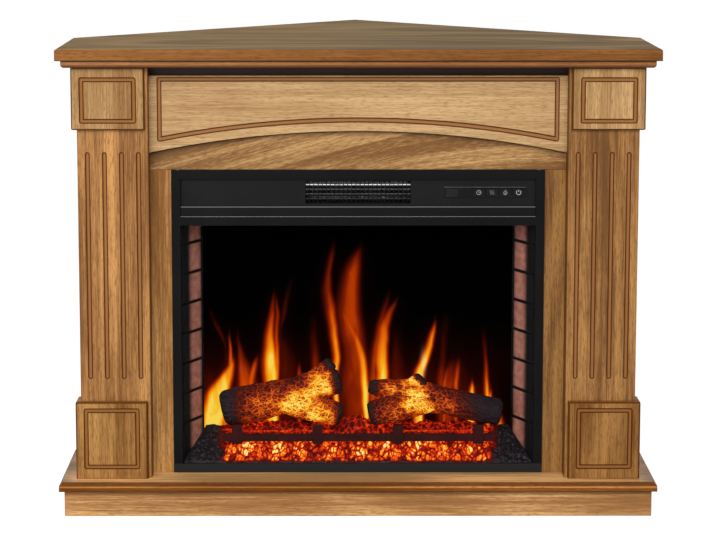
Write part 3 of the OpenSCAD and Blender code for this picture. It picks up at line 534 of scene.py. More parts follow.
def dress_wood():
    arch = (ARCH_END ** 2 + ARCH_RISE ** 2) / (2 * ARCH_RISE)
    oak("frieze_panel", "x", ((196, 160, 112), (158, 118, 74)), 1, 0.6, face=58)
    # The header carries painted shadow along the arch and under the crown.
    oak("surround_header", "x", ((190, 148, 94), (122, 82, 40)), 2, 1.2, dash=60.0, slant=(0.27, 0.38),
        arch=arch)
    # Each block's rim lines are part stain and part painted shade.
    blocks = [("pilaster_", (DEEP, FAIR), 5, 1.25, 36, 0.2, (1.7, 1.5, 1.5)),
              ("capital_block_", CAPITALS, 7, 1.0, 26, 0.08, (3.0, 2.6, 4.0)),
              ("base_block_", BASES, 9, 1.3, 26, 0.05, (4.2, 1.2, 4.6))]
    for index, side in enumerate(("left", "right")):
        oak("surround_stile_" + side, "z", STILES[index], 3 + index, 1.7)
        for stem, tones, seed, bands, face, gloss, reach in blocks:
            oak(stem + side, "z", tones[index], seed + index, bands, face=face, gloss=gloss,
                rims=block_rims(stem + side, reach))
        oak("side_panel_" + side, "z", DEEP, 11 + index, 1.1)
        oak("plinth_" + side, "wall", DEEP, 13 + index, 0.9)
    oak("plinth_front", "x", ((224, 174, 114), (160, 110, 62)), 15, 1.3)
    # The mantel's and the hearth's top colours are painted light, and the hearth's darker ends painted shade.
    oak("mantel_top", "x", ((148, 98, 54), (118, 74, 36)), 16, 0.6, top=(143, 115, 74), gloss=0.03,
        sheen=0.6, tiers=MANTEL_LIGHT_TIERS)
    oak("hearth_slab", "x", ((228, 156, 88), (172, 108, 46)), 17, 0.9, top=(242, 186, 122), sheen=0.36,
        gloss=0.06, ends=(526, 562), tiers=HEARTH_LIGHT_TIERS)
    for index, (end, grain) in enumerate((("front", "x"), ("left", "wall"), ("right", "wall"))):
        oak("crown_moulding_" + end, grain, ((214, 146, 84), (166, 106, 52)), 18 + index, 0.5, sheen=0.34,
            gloss=0.25, tiers=CROWN_LIGHT_TIERS)
    dress(chipboard(), "plinth_rail_left", "plinth_rail_right")


def chipboard():
    s = Shader("raw_board")
    flakes = s.noise(160.0, 4.0)
    chips = s.cracks((140.0, 90.0, 140.0))
    colour = s.ramp(flakes, [(0.3, (150, 118, 80)), (0.55, (186, 154, 112)), (0.75, (206, 180, 138))])
    return s.finish(Base_Color=s.mix(s.span(chips, 0.09, 0.0), colour, (120, 90, 58)), Roughness=0.85,
                    Normal=s.relief(flakes, 0.4, 0.0006))


# -------- metal, plastic and the rest

def painted_steel(name, colour, rough=0.5, shine=0.12, lip=None, foot=None):
    """Powder coat: a fine orange-peel grain, with slightly cloudy gloss. lip is a lowest and a
    highest z, in millimetres, and the grey of the painted highlight on faces that look up
    between them; foot is the colour of the lowest strip, just above the hearth."""
    s = Shader(name)
    cloud = s.noise(9.0, 3.0)
    coat = s.mix(s.span(cloud, 0.3, 0.75), colour, tinted(colour, 1.5, 0.001))
    if foot:
        coat = s.mix(s.span(s.z, 0.087, 0.084), coat, foot)
    # Painted highlight: faces that look up, between the lip's heights, get its grey.
    if lip:
        low, high, grey = lip
        belt = s.math("GREATER_THAN", s.z, low * MM) * s.math("LESS_THAN", s.z, high * MM)
        coat = s.mix(s.span(s.facing()[2], 0.3, 0.6) * belt, coat, (grey, grey, grey))
    return s.finish(Base_Color=coat, Roughness=cloud * 0.14 + (rough - 0.07),
                    Normal=s.relief(s.noise(1400.0), 0.12, 0.0002, 0.0008), Specular_IOR_Level=shine)


def bare_metal(name, colour, rough=0.4, spangle=0.0, brushed=False):
    """Sheet or turned metal: zinc spangle as patches of tone, or fine lines along x."""
    s = Shader(name)
    lines = s.noise((6.0, 500.0, 500.0) if brushed else 30.0, 3.0)
    tone = lines
    if spangle:
        tone = lines * (1 - spangle) + s.parts(s.scattered(70.0, "Color"))[0] * spangle
    return s.finish(Base_Color=s.mix(s.span(tone, 0.2, 0.8), tinted(colour, 0.55), colour), Metallic=0.92,
                    Roughness=tone * 0.25 + (rough - 0.12), Normal=s.relief(lines, 0.1, 0.0002))


def plastic(name, colour, rough=0.4, shine=0.3, grain=900.0):
    s = Shader(name)
    dust = s.noise(40.0)
    return s.finish(Base_Color=s.mix(s.span(dust, 0.35, 0.7), colour, tinted(colour, 1.35, 0.0008)),
                    Roughness=dust * 0.12 + (rough - 0.06), Specular_IOR_Level=shine,
                    Normal=s.relief(s.noise(grain, 3.0), 0.15, 0.0002, 0.0005))


def circuit_board():
    s = Shader("circuit_board")
    tracks = s.cracks((260.0, 1.0, 260.0))
    colour = s.mix(s.span(tracks, 0.1, 0.04), (16, 70, 40), (34, 110, 62))
    colour = s.mix(s.span(s.scattered(420.0), 0.2, 0.1), colour, (196, 190, 170))
    return s.finish(Base_Color=colour, Roughness=0.42, Normal=s.relief(tracks, 0.2, 0.0003))


def brick():
    """Stretcher courses, near black towards the glass and the screen, with dark joints."""
    s = Shader("brick_panel")
    behind = s.y - (FRONT_Y + GLASS_D * MM)
    run = behind * (1000.0 / (SCREEN_D - GLASS_D))
    inset = (s.absolute(s.x) - PANEL_EDGE * MM) * PANEL_LEAN[0] + behind * PANEL_LEAN[1]
    course = s.math("FRACT", (s.z - (HEARTH_Z + FIRST_JOINT) * MM) * (1000.0 / COURSE) + 40.0)
    near = s.math("MINIMUM", course, course * -1.0 + 1.0)
    joint = s.larger(s.span(inset, 0.0006, 0.0018), s.span(near, 0.075, 0.035))
    clay = s.noise((60.0, 60.0, 90.0), 4.0)
    pits = s.noise(420.0, 3.0)
    colour = s.ramp(clay, [(0.3, (150, 98, 84)), (0.5, (178, 118, 102)), (0.72, (198, 138, 122))])
    colour = s.mix(s.span(pits, 0.6, 0.75) * 0.4, colour, (70, 40, 34))
    colour = s.mix(joint, colour, (24, 15, 14))
    colour = s.mix(s.span(run, 0.28, 0.5) * s.span(run, 0.92, 0.7), (15, 15, 16), colour)
    return s.finish(Base_Color=colour, Roughness=0.8, Specular_IOR_Level=0.15,
                    Normal=s.relief(pits * 0.4 + clay, 0.35, 0.0008, 0.0012))


def clear_glass():
    """A clear matt-coated sheet that shows only as the lightest haze of dust."""
    s = Shader("clear_glass")
    return s.finish(Base_Color=(4, 5, 5), Roughness=s.span(s.noise(14.0, 4.0), 0.35, 0.8, 0.2, 0.3),
                    Alpha=0.04, IOR=1.3, Specular_IOR_Level=0.0)


def dress_insert():
    # The lips are painted highlights on up-facing edges of the frame, the rail and the control strip.
    dress(painted_steel("black_powder_coat", (7, 7, 7), shine=0.07, lip=(560, 572, 215), foot=(36, 36, 36)),
          "front_frame")
    dress(painted_steel("fascia_coat", (13, 13, 13), 0.5, 0.09), "fascia_panel")
    dress(painted_steel("rail_coat", (8, 8, 8), 0.4, 0.08, lip=(578, 590, 100)), "trim_rail")
    dress(grille_steel(), "outlet_grille")
    dress(painted_steel("ceiling_coat", (30, 30, 31)), "firebox_ceiling")
    dress(painted_steel("strip_gloss", (8, 8, 8), 0.36, 0.1, lip=(600, 640, 255)), "control_strip")
    dress(plastic("display_smoke", (22, 22, 22), 0.2, 0.12), "display_window")
    dress(plastic("key_cap", (10, 10, 10), 0.42, 0.1), "timer_key", "heater_key", "flame_key", "power_key")
    dress(circuit_board(), "control_board")
    dress(clear_glass(), "front_glass")
    dress(bare_metal("zinc_sheet", (178, 182, 186), 0.42, 0.3), "corner_brackets", "insert_brackets")
    dress(painted_steel("casing_coat", (24, 24, 25), 0.5, 0.3), "insert_casing")
    dress(painted_steel("cover_coat", (30, 30, 31), 0.5, 0.3), "rear_cover")
    dress(bare_metal("zinc_duct", (70, 72, 74), 0.5, 0.45), "heater_duct")
    dress(plastic("gland_black", (30, 30, 30), 0.5), "cable_gland")
    dress(bare_metal("heater_wire", (52, 50, 48), 0.5, brushed=True), "heating_element")
    dress(bare_metal("wheel_steel", (190, 194, 198), 0.3, brushed=True), "blower_wheel")
    dress(bare_metal("motor_shell", (120, 122, 126), brushed=True), "blower_motor", "rotor_motor")
    dress(plastic("bearing_resin", (208, 204, 192), 0.45), "rotor_bearing")
    dress(bare_metal("mirror_foil", (226, 228, 232), 0.2, 0.3, True), "flame_rotor")
    dress(lamp_board(), "flame_led_strip", "ember_led_strip")
    dress(brick(), "brick_panel_left", "brick_panel_right")
    dress(screen_film(), "flame_screen")
    dress(cast_iron(), "fire_grate")


def grille_steel():
    """Matt black wires in front of louvres that the top light catches, the highest one most."""
    s = Shader("grille_steel")
    grain = s.noise((120.0, 300.0, 300.0), 3.0)
    behind = s.span(s.y, FRONT_Y + 82.4 * MM, FRONT_Y + 82.9 * MM)
    greys = [(0.0, 60), (0.3, 70), (0.5, 110), (0.7, 84), (0.78, 255), (1.0, 255)]
    shade = s.ramp(s.span(s.z, 0.592, 0.636), [(place, (grey, grey, grey)) for place, grey in greys])
    colour = s.mix(behind, (6, 6, 6), s.mix(s.span(grain, 0.4, 0.7, 0.0, 0.5), shade, (30, 30, 30)))
    return s.finish(Base_Color=colour, Roughness=grain * 0.2 + 0.6, Normal=s.relief(grain, 0.1, 0.0002),
                    Specular_IOR_Level=0.1)


def lamp_board():
    s = Shader("lamp_strip")
    colour = s.ramp(s.noise(50.0), [(0.3, (214, 208, 190)), (0.7, (240, 236, 222))])
    return s.finish(Base_Color=colour, Roughness=0.5, Emission_Color=(255, 176, 84), Emission_Strength=0.6,
                    Normal=s.relief(s.noise(700.0), 0.15, 0.0003))


def screen_film():
    s = Shader("screen_film")
    grain = s.noise(900.0)
    return s.finish(Base_Color=s.mix(grain, (1, 1, 1), (3, 3, 3)), Roughness=grain * 0.2 + 0.6,
                    Specular_IOR_Level=0.0)


def cast_iron():
    s = Shader("cast_black")
    sand = s.noise(340.0, 4.0, rough=0.65)
    cloud = s.noise(30.0, 3.0)
    # Dark iron, with the red glow of the fire painted into its colour.
    colour = s.ramp(sand * 0.5 + cloud * 0.5, [(0.3, (34, 8, 8)), (0.55, (50, 14, 14)), (0.75, (68, 24, 24))])
    return s.finish(Base_Color=colour, Roughness=cloud * 0.3 + 0.42, Specular_IOR_Level=0.1,
                    Normal=s.relief(sand, 0.5, 0.0008, 0.0018))


# -------- fire picture

# Each tongue: how soft its left and right edges are, then knots of height, left edge, right edge and
# heat in percent.
TONGUES = {
    "left_base": (0.3, 0.12, [(273, -256, -250, 40), (255, -266, -249, 56), (237, -281, -252, 66),
        (220, -297, -255, 72), (202, -311, -259, 78), (173, -324, -264, 83), (147, -328, -268, 86),
        (122, -328, -272, 84)]),
    "left_spike": (0.4, 0.2, [(325, -261, -258, 20), (300, -262, -256, 48), (274, -263, -254, 60),
        (249, -265, -252, 62), (224, -274, -255, 62), (198, -282, -261, 60)]),
    "left_wisp": (0.5, 0.5, [(372, -303, -297, 6), (338, -293, -280, 20), (313, -280, -268, 22),
        (294, -271, -264, 10)]),
    "left_sheet": (0.06, 0.7, [(332, -244, -242, 8), (300, -244, -237, 26), (274, -244, -226, 36),
        (249, -244, -210, 41), (224, -244, -197, 44), (198, -244, -191, 44)]),
    "left_small": (0.4, 0.4, [(277, -207, -199, 20), (258, -217, -202, 50), (232, -226, -207, 62),
        (207, -229, -209, 66), (190, -229, -209, 66)]),
    "main_left": (0.45, 0.18, [(408, -167, -164, 8), (381, -175, -165, 32), (351, -184, -166, 48),
        (321, -191, -166, 60), (291, -196, -165, 74), (266, -200, -163, 88), (241, -199, -160, 95),
        (215, -196, -158, 98), (194, -195, -158, 98)]),
    "main_edge": (0.3, 0.35, [(396, -165, -160, 14), (369, -167, -157, 36), (343, -168, -156, 46),
        (312, -169, -157, 50), (272, -171, -158, 56), (240, -172, -158, 60), (205, -172, -158, 60)]),
    "main_wisp": (0.5, 0.5, [(427, -134, -129, 6), (393, -145, -134, 19), (359, -155, -141, 24),
        (328, -159, -151, 16)]),
    "main_haze": (0.3, 0.9, [(321, -159, -138, 6), (266, -163, -115, 17), (224, -166, -100, 19),
        (198, -168, -100, 19)]),
    "spark_left": (0.4, 0.4, [(266, -120, -117, 10), (245, -124, -114, 42), (224, -125, -111, 52),
        (207, -125, -111, 52)]),
    "dim_left": (0.5, 0.5, [(355, -94, -82, 6), (317, -99, -76, 16), (283, -99, -74, 22),
        (258, -96, -74, 38), (228, -95, -74, 46)]),
    "tall": (0.5, 0.16, [(502, -50, -46, 6), (470, -60, -44, 26), (436, -68, -51, 30), (402, -79, -49, 32),
        (372, -72, -42, 43), (342, -65, -38, 56), (308, -58, -34, 68), (274, -54, -33, 76),
        (249, -54, -36, 90), (228, -52, -37, 95), (207, -52, -37, 90)]),
    "sheet": (0.4, 0.28, [(493, 0, 13, 10), (465, -22, 13, 30), (436, -37, 11, 42), (402, -46, 11, 44),
        (368, -50, 14, 45), (330, -46, 22, 44), (287, -37, 24, 38), (245, -40, 28, 32), (202, -46, 38, 29),
        (160, -48, 47, 30)]),
    "diagonal": (0.5, 0.14, [(378, -39, -31, 30), (351, -35, -18, 48), (321, -24, 3, 52), (291, -13, 16, 58),
        (258, -5, 21, 66), (224, 0, 24, 78), (194, 3, 24, 90), (160, 7, 24, 94)]),
    "right_flank": (0.5, 0.4, [(404, 62, 70, 10), (372, 48, 64, 32), (338, 37, 55, 40), (300, 29, 48, 44),
        (258, 23, 43, 46), (215, 22, 41, 46)]),
    "main_right": (0.5, 0.14, [(388, 79, 84, 26), (359, 50, 74, 46), (330, 36, 66, 60), (300, 32, 65, 68),
        (266, 28, 64, 76), (241, 33, 65, 84), (224, 35, 63, 94), (198, 35, 63, 97)]),
    "right_haze": (0.2, 0.8, [(330, 70, 91, 5), (283, 68, 100, 14), (241, 66, 104, 18), (215, 66, 108, 18)]),
    "bright_right": (0.45, 0.12, [(345, 154, 159, 40), (317, 142, 158, 62), (291, 133, 152, 76),
        (266, 123, 145, 90), (245, 114, 138, 98), (228, 110, 135, 100), (207, 108, 134, 100)]),
    "dim_right": (0.5, 0.4, [(355, 170, 184, 6), (300, 165, 181, 16), (258, 163, 179, 20),
        (224, 159, 179, 28), (198, 158, 179, 30)]),
    "small_haze": (0.3, 0.5, [(268, 182, 206, 10), (240, 166, 208, 20), (214, 158, 212, 25),
        (185, 156, 216, 27)]),
    "small_1": (0.4, 0.4, [(255, 179, 187, 24), (232, 173, 185, 40), (211, 168, 182, 46),
        (185, 168, 182, 46)]),
    "small_2": (0.4, 0.3, [(268, 198, 209, 18), (241, 193, 207, 36), (215, 192, 205, 48),
        (185, 192, 205, 50)]),
    "small_3": (0.4, 0.3, [(230, 230, 232, 30), (211, 225, 237, 70), (194, 220, 239, 90),
        (173, 218, 240, 92)]),
    "right_thin": (0.35, 0.35, [(325, 246, 258, 7), (283, 250, 261, 24), (258, 253, 263, 40),
        (232, 253, 265, 50), (207, 254, 268, 65), (173, 257, 271, 75)]),
    "small_4": (0.4, 0.25, [(213, 268, 271, 30), (194, 263, 272, 70), (168, 262, 273, 80)]),
    "end_glow": (0.3, 0.5, [(173, 279, 287, 20), (151, 280, 297, 60), (130, 282, 304, 86),
        (109, 283, 308, 80)]),
    "between": (0.3, 0.3, [(196, 38, 57, 50), (185, 36, 64, 98), (164, 36, 64, 100)]),
}

FIRE = [(0.0, (0, 0, 0)), (0.1, (28, 3, 1)), (0.22, (72, 12, 2)), (0.38, (130, 30, 2)), (0.55, (200, 66, 3)),
        (0.7, (240, 118, 8)), (0.84, (252, 164, 20)), (0.94, (255, 196, 44)), (1.0, (255, 218, 84))]

# How far the picture is stretched from the tongues' places, across and up.
STRETCH = (0.97, 1.015)


def waves(x, z, across, up, seed):
    """Noise over the picture, of so many waves for each millimetre across and up."""
    return value_noise(np.stack([x * across, z * up, x * 0], axis=-1), seed)


def fire_heat(x, z):
    """How hot the fire picture is at each point, from 0 to 1."""
    place = x + 1.6 * waves(x, z, 0.004, 0.012, 5) + 1.3 * waves(x, z, 0.02, 0.045, 6)
    heat = np.zeros_like(x)
    spill = np.zeros_like(x)
    steps = np.arange(90.0, 530.0, 2.0)
    kernel = bump(np.arange(-7, 8), 3.2)
    kernel /= kernel.sum()
    for index, (left_soft, right_soft, knots) in enumerate(TONGUES.values()):
        heights, *lines = zip(*sorted(knots))
        lines = [np.pad(np.interp(steps, heights, line), 7, mode="edge") for line in lines]
        left, right, warmth = (np.interp(z, steps, np.convolve(line, kernel, "valid")) for line in lines)
        warmth = warmth / 100
        tip = smooth(heights[-1] + 14, heights[-1] - 18, z)
        width = np.maximum(right - left, 1.0)
        feather = np.minimum(9, 3 + 0.3 * width)
        inside = smooth(0, 1, (place - left + 0.45 * feather) / (left_soft * width + feather))
        inside = inside * smooth(0, 1, (right + 0.45 * feather - place) / (right_soft * width + feather))
        share = (place - left) / width
        strand = waves(share * 3.4 + index * 9, z, 1, 0.01, 40)
        streaks = 0.9 + 0.1 * bump(share - 0.6, 0.35) + 0.2 * strand * (1 - 0.7 * warmth)
        halo = bump(place - (left + right) / 2, width * 0.5 + 12)
        heat = np.maximum(heat, inside * tip * warmth * streaks)
        spill = spill + 0.06 * halo * tip * warmth * (z > 100)
    haze = (0.1 - 0.02 * smooth(-60, 60, x)) * bump(z - 215, 75)
    haze = haze * (1 + 0.8 * waves(x, z, 0.02, 0.01, 44))
    return np.clip(heat + np.minimum(spill, 0.1) + haze, 0, 1)


def fire_picture():
    """The picture that the lamps and the turning rotor throw on the back screen."""
    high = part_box("flame_screen")[1]
    half = high.x / MM - 0.5
    columns, rows = 306, 216
    x, z = np.meshgrid(np.linspace(-half, half, columns), np.linspace(104, high.z / MM - 1, rows))
    across, up = x / STRETCH[0], z / STRETCH[1]
    heat = fire_heat(across, up)
    pale_spot = 0.6 * bump(np.hypot((across - 133) / 8, (up - 258) / 34))
    s = Shader("fire_picture")
    flicker = s.noise((55.0, 1.0, 13.0), 3.0, warp=0.6)
    flame = s.ramp(s.attribute("glow_heat") * s.span(flicker, 0.2, 0.8, 0.86, 1.1), FIRE)
    cool = s.attribute("cool")
    pale = s.mix(cool, flame, (228, 240, 180))
    colour = s.mix(s.span(cool, 0.0, 1.0, 0.0, 0.4), flame, pale)
    material = s.finish(Base_Color=(1, 1, 1), Roughness=0.7, Emission_Color=colour, Emission_Strength=1.0,
                        Specular_IOR_Level=0.0)
    points = at(x, SCREEN_D - 0.15, z).reshape(-1, 3)
    make_piece("fire_picture", points, grid_faces(rows, columns), material, "flame_film",
               glow_heat=heat.ravel(), cool=pale_spot.ravel())


# -------- logs and embers

GLOW = [(0.0, (0, 0, 0)), (0.14, (42, 7, 3)), (0.28, (104, 22, 4)), (0.42, (172, 54, 7)),
        (0.56, (226, 100, 12)), (0.7, (250, 152, 24)), (0.86, (255, 198, 48)), (1.0, (255, 226, 100))]
EMBER = [(0.0, (0, 0, 0)), (0.12, (54, 4, 2)), (0.26, (132, 13, 3)), (0.42, (208, 42, 4)),
         (0.58, (242, 88, 8)), (0.74, (252, 140, 16)), (0.88, (255, 200, 54)), (1.0, (255, 240, 150))]
# A limb's spacing of points, and the rows that close each of its ends.
LIMB_STEP = 1.8
LID_ROWS = 6


def charred(name, cell, along, body_glow):
    """Cast resin painted as charred wood: dark and crazed, with light showing through its cracks."""
    s = Shader(name)
    bent = s.bent(90.0, 2.0, 0.009)
    wide = s.cracks((cell * along, cell, cell), bent)
    fine = s.cracks((cell * 1.8 * along, cell * 1.8, cell * 1.8), bent)
    split = s.cracks((cell * 0.16, cell * 0.7, cell * 0.7), bent)
    heat = s.attribute("glow_heat")
    wider = heat * -0.07
    net = s.larger(s.span(wide + wider, 0.07, -0.01), s.span(fine + wider, 0.07, 0.0) * 0.6)
    net = s.larger(net, s.span(split, 0.1, 0.02) * s.span(heat, 0.45, 0.85))
    patch = s.noise((70.0, 90.0, 90.0), 3.0)
    fleck = s.span(s.noise((260.0, 420.0, 420.0), 3.0, bent, 0.6), 0.52, 0.66)
    glow = net * 0.5 + (patch - 0.5) * 0.7 + body_glow
    glow = glow * (heat * 0.94 + 0.02) + s.span(heat, 0.62, 1.0, 0.0, 0.32)
    glow = glow * (fleck * -0.5 + 1.06)
    grit = s.noise(420.0, 4.0, rough=0.7)
    colour = s.ramp(grit, [(0.35, (18, 14, 17)), (0.6, (44, 37, 42)), (0.8, (84, 76, 82))])
    colour = s.mix(net * 0.4, colour, (14, 11, 11))
    colour = s.mix(s.span(heat, 0.05, 0.4, 0.0, 0.96), colour, (22, 5, 2))
    height = s.span(wide, 0.0, 0.22) * 0.8 + grit * 0.4
    return s.finish(Base_Color=colour, Roughness=0.78, Emission_Color=s.ramp(glow, GLOW),
                    Emission_Strength=1.05, Specular_IOR_Level=0.1, Normal=s.relief(height, 0.75, 0.0016))


def tube(start, end, radii, seed, bend=0.0, knots=(), ridge=1.6, cap=9.0):
    """Points and faces of a rough round limb, with each point's place along (0 to 1) and angle
    round (0 at the top, growing to the front). Its start and end are measured from the glass's
    back and the hearth's top; radii are (place along, radius) pairs, and knots are (place along,
    angle, size, height)."""
    start, end = (np.add(point, (0.0, GLASS_D, HEARTH_Z)) for point in (start, end))
    length = np.linalg.norm(end - start)
    axis = (end - start) / length
    front = np.array([0.0, -1.0, 0.0])
    front -= front @ axis * axis
    front /= np.linalg.norm(front)
    up = np.cross(axis, front)
    if up[2] < 0:
        up = -up
    rows = int(length / LIMB_STEP) + 2
    around = int(2 * math.pi * max(r for _, r in radii) / LIMB_STEP)
    along = np.concatenate([np.zeros(LID_ROWS), np.linspace(0, length, rows), np.full(LID_ROWS, length)])
    lid = np.concatenate([np.linspace(0.02, 0.9, LID_ROWS), np.ones(rows), np.linspace(0.9, 0.02, LID_ROWS)])
    along, turn = np.meshgrid(along, np.arange(around) * 2 * math.pi / around, indexing="ij")
    lid = lid[:, None].repeat(around, 1)
    cos, sin = np.cos(turn), np.sin(turn)

    def skin(wide, long):
        return np.stack([cos * wide, sin * wide, along * long], axis=-1)

    share = along / length
    edge = np.minimum(along, length - along)
    radius = np.interp(share, *zip(*radii)) * (1 - 0.2 * (1 - np.clip(edge / cap, 0, 1)) ** 2)
    radius = radius * (1 + 0.13 * fractal(skin(1, 0.006) * 1.3 + seed, 2, seed))
    bark = np.abs(fractal(skin(5.5, 0.028) + 7 + seed, 3, seed + 3))
    radius = radius + 1.2 * ridge * (0.85 - 2 * bark)
    radius = radius + 1.3 * fractal(skin(13, 0.35), 2, seed + 9)
    for knot_share, knot_turn, size, height in knots:
        beside = np.angle(np.exp(1j * (turn - knot_turn))) * radius
        radius = radius + height * bump(np.hypot((share - knot_share) * length, beside), size)
    radius = radius * lid
    sag = bend * np.sin(share * math.pi) * math.cos(seed)
    dish = (1 - lid) * 1.8 * np.where(share < 0.5, 1, -1)
    points = start + axis * (along + dish)[..., None]
    points = points + up * (cos * radius + sag)[..., None] + front * (sin * radius)[..., None]
    return points, grid_faces(rows + 2 * LID_ROWS, around, closed=True), share, turn


def join_tubes(tubes):
    """Puts several tubes in one list of points and faces, and tells which tube each point is of."""
    points, faces, share, turn = zip(*tubes)
    sizes = [s.size for s in share]
    starts = np.cumsum([0] + sizes[:-1])
    return (np.concatenate([p.reshape(-1, 3) for p in points]),
            np.concatenate([f + first for f, first in zip(faces, starts)]),
            np.concatenate([s.ravel() for s in share]),
            np.concatenate([t.ravel() for t in turn]),
            np.repeat(np.arange(len(tubes)), sizes))


def glow_spot(points, x, z, wide, tall, lean):
    """A soft spot of heat on the logs, seen from the front, in millimetres."""
    dx, dz = points[:, 0] - x, points[:, 2] - z
    cos, sin = math.cos(lean), math.sin(lean)
    return bump(np.hypot((dx * cos + dz * sin) / wide, (dz * cos - dx * sin) / tall))


def make_log(name, material, ends, tubes, spots):
    """A log from its limbs. ends are the distances over which the glow fades in from its ends, and
    spots are (x, z, width, height, lean, heat)."""
    points, faces, share, turn, which = join_tubes(tubes)
    points[:, 1] = np.minimum(points[:, 1], SCREEN_D - 0.4)
    heat = np.max([spot[-1] * glow_spot(points, *spot[:-1]) for spot in spots], axis=0)
    heat = heat * (0.8 + 0.3 * (0.5 + 0.5 * value_noise(points * 0.055, 21)))
    fade = smooth(0, ends[0], share) * smooth(1, 1 - ends[1], share)
    heat = heat * np.where(which > 0, smooth(1.0, 0.62, share), fade)
    heat = heat * smooth(-0.5, 0.12, np.sin(turn) + 0.144)
    piece = make_piece(name, at(*points.T), faces, material, "log_resin", glow_heat=np.clip(heat, 0, 1))
    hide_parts(name)


def make_logs():
    make_log("upper_log_left", charred("log_left", 100.0, 0.8, 0.36), (0.2, 0.1),
             [tube((-264, 52, 110), (-34, 52, 168), [(0, 30), (0.15, 36), (0.6, 30), (1, 21)], 3, 5.0,
                   [(0.16, 1.0, 16, 4), (0.45, 0.4, 20, 5), (0.72, 0.2, 14, 6), (0.3, -0.6, 14, 4)], 3.0),
              tube((-88, 50, 168), (-50, 48, 204), [(0, 17), (1, 12)], 5, ridge=1.8, cap=5.0)],
             [(-112, 200, 84, 40, 0.35, 1.0), (-170, 196, 80, 52, 0.2, 0.74), (-70, 234, 54, 46, 0.3, 0.92),
              (-215, 172, 44, 40, 0.0, 0.58)])
    make_log("upper_log_right", charred("log_right", 102.0, 0.66, 0.35), (0.1, 0.3),
             [tube((22, 52, 156), (280, 52, 103), [(0, 10), (0.12, 18), (0.38, 28), (0.6, 24), (1, 25)], 8,
                   -4.0, [(0.3, 0.6, 17, 6), (0.62, 1.4, 20, 3), (0.12, 0.9, 12, 3)], 2.6),
              tube((104, 48, 150), (126, 46, 174), [(0, 19), (1, 12)], 9, cap=5.0)],
             [(114, 206, 70, 38, -0.4, 1.0), (66, 218, 54, 32, -0.2, 0.8), (168, 194, 54, 38, -0.2, 0.66),
              (212, 174, 50, 30, -0.2, 0.36), (114, 238, 34, 26, 0.0, 0.92)])
    make_log("lower_log_left", charred("log_low_left", 102.0, 0.85, 0.38), (0.02, 0.1),
             [tube((-158, 44, 134), (-32, 31, 102), [(0, 22), (0.4, 28), (1, 20)], 12, 3.0,
                   [(0.5, 1.2, 16, 4)], 2.0)],
             [(-118, 196, 70, 40, 0.4, 1.0), (-78, 178, 54, 42, -0.2, 0.9), (-50, 168, 38, 34, 0.0, 0.78)])
    make_log("lower_log_right", charred("log_low_right", 106.0, 0.85, 0.33), (0.1, 0.02),
             [tube((22, 29, 106), (152, 43, 132), [(0, 21), (0.4, 26), (1, 20)], 14, 3.0,
                   [(0.35, 1.0, 15, 4)], 2.0)],
             [(118, 192, 60, 36, -0.4, 1.0), (70, 182, 56, 40, 0.2, 0.7), (34, 174, 38, 32, 0.0, 0.56)])


# The bed's outline from the front lip to the screen, at the sides and along the glowing strip.
SIDE_LINE = [(84.8, 70), (85.6, 82), (90, 89), (102, 99), (118, 110), (136, 121), (152, 132), (163.6, 140)]
COAL_LINE = [(84.8, 70), (85.6, 82), (90, 90), (95, 96), (97, 108), (102, 120), (112, 127), (124, 131),
             (138, 137), (152, 143), (163.6, 146)]
# Half the bed's width at the screen.
BED_BACK = 297.4


def bed_line(points, count):
    """Points along a line of corners, evenly spaced, with the corners rounded."""
    points = np.array(points, float)
    step = np.concatenate([[0], np.cumsum(np.linalg.norm(np.diff(points, axis=0), axis=1))])
    place = np.linspace(0, step[-1], count)
    line = np.stack([np.interp(place, step, points[:, a]) for a in (0, 1)], axis=-1)
    kernel = np.array([1, 2, 3, 2, 1]) / 9
    middle = np.stack([np.convolve(line[:, a], kernel, "valid") for a in (0, 1)], axis=-1)
    return np.concatenate([line[:2], middle, line[-2:]])


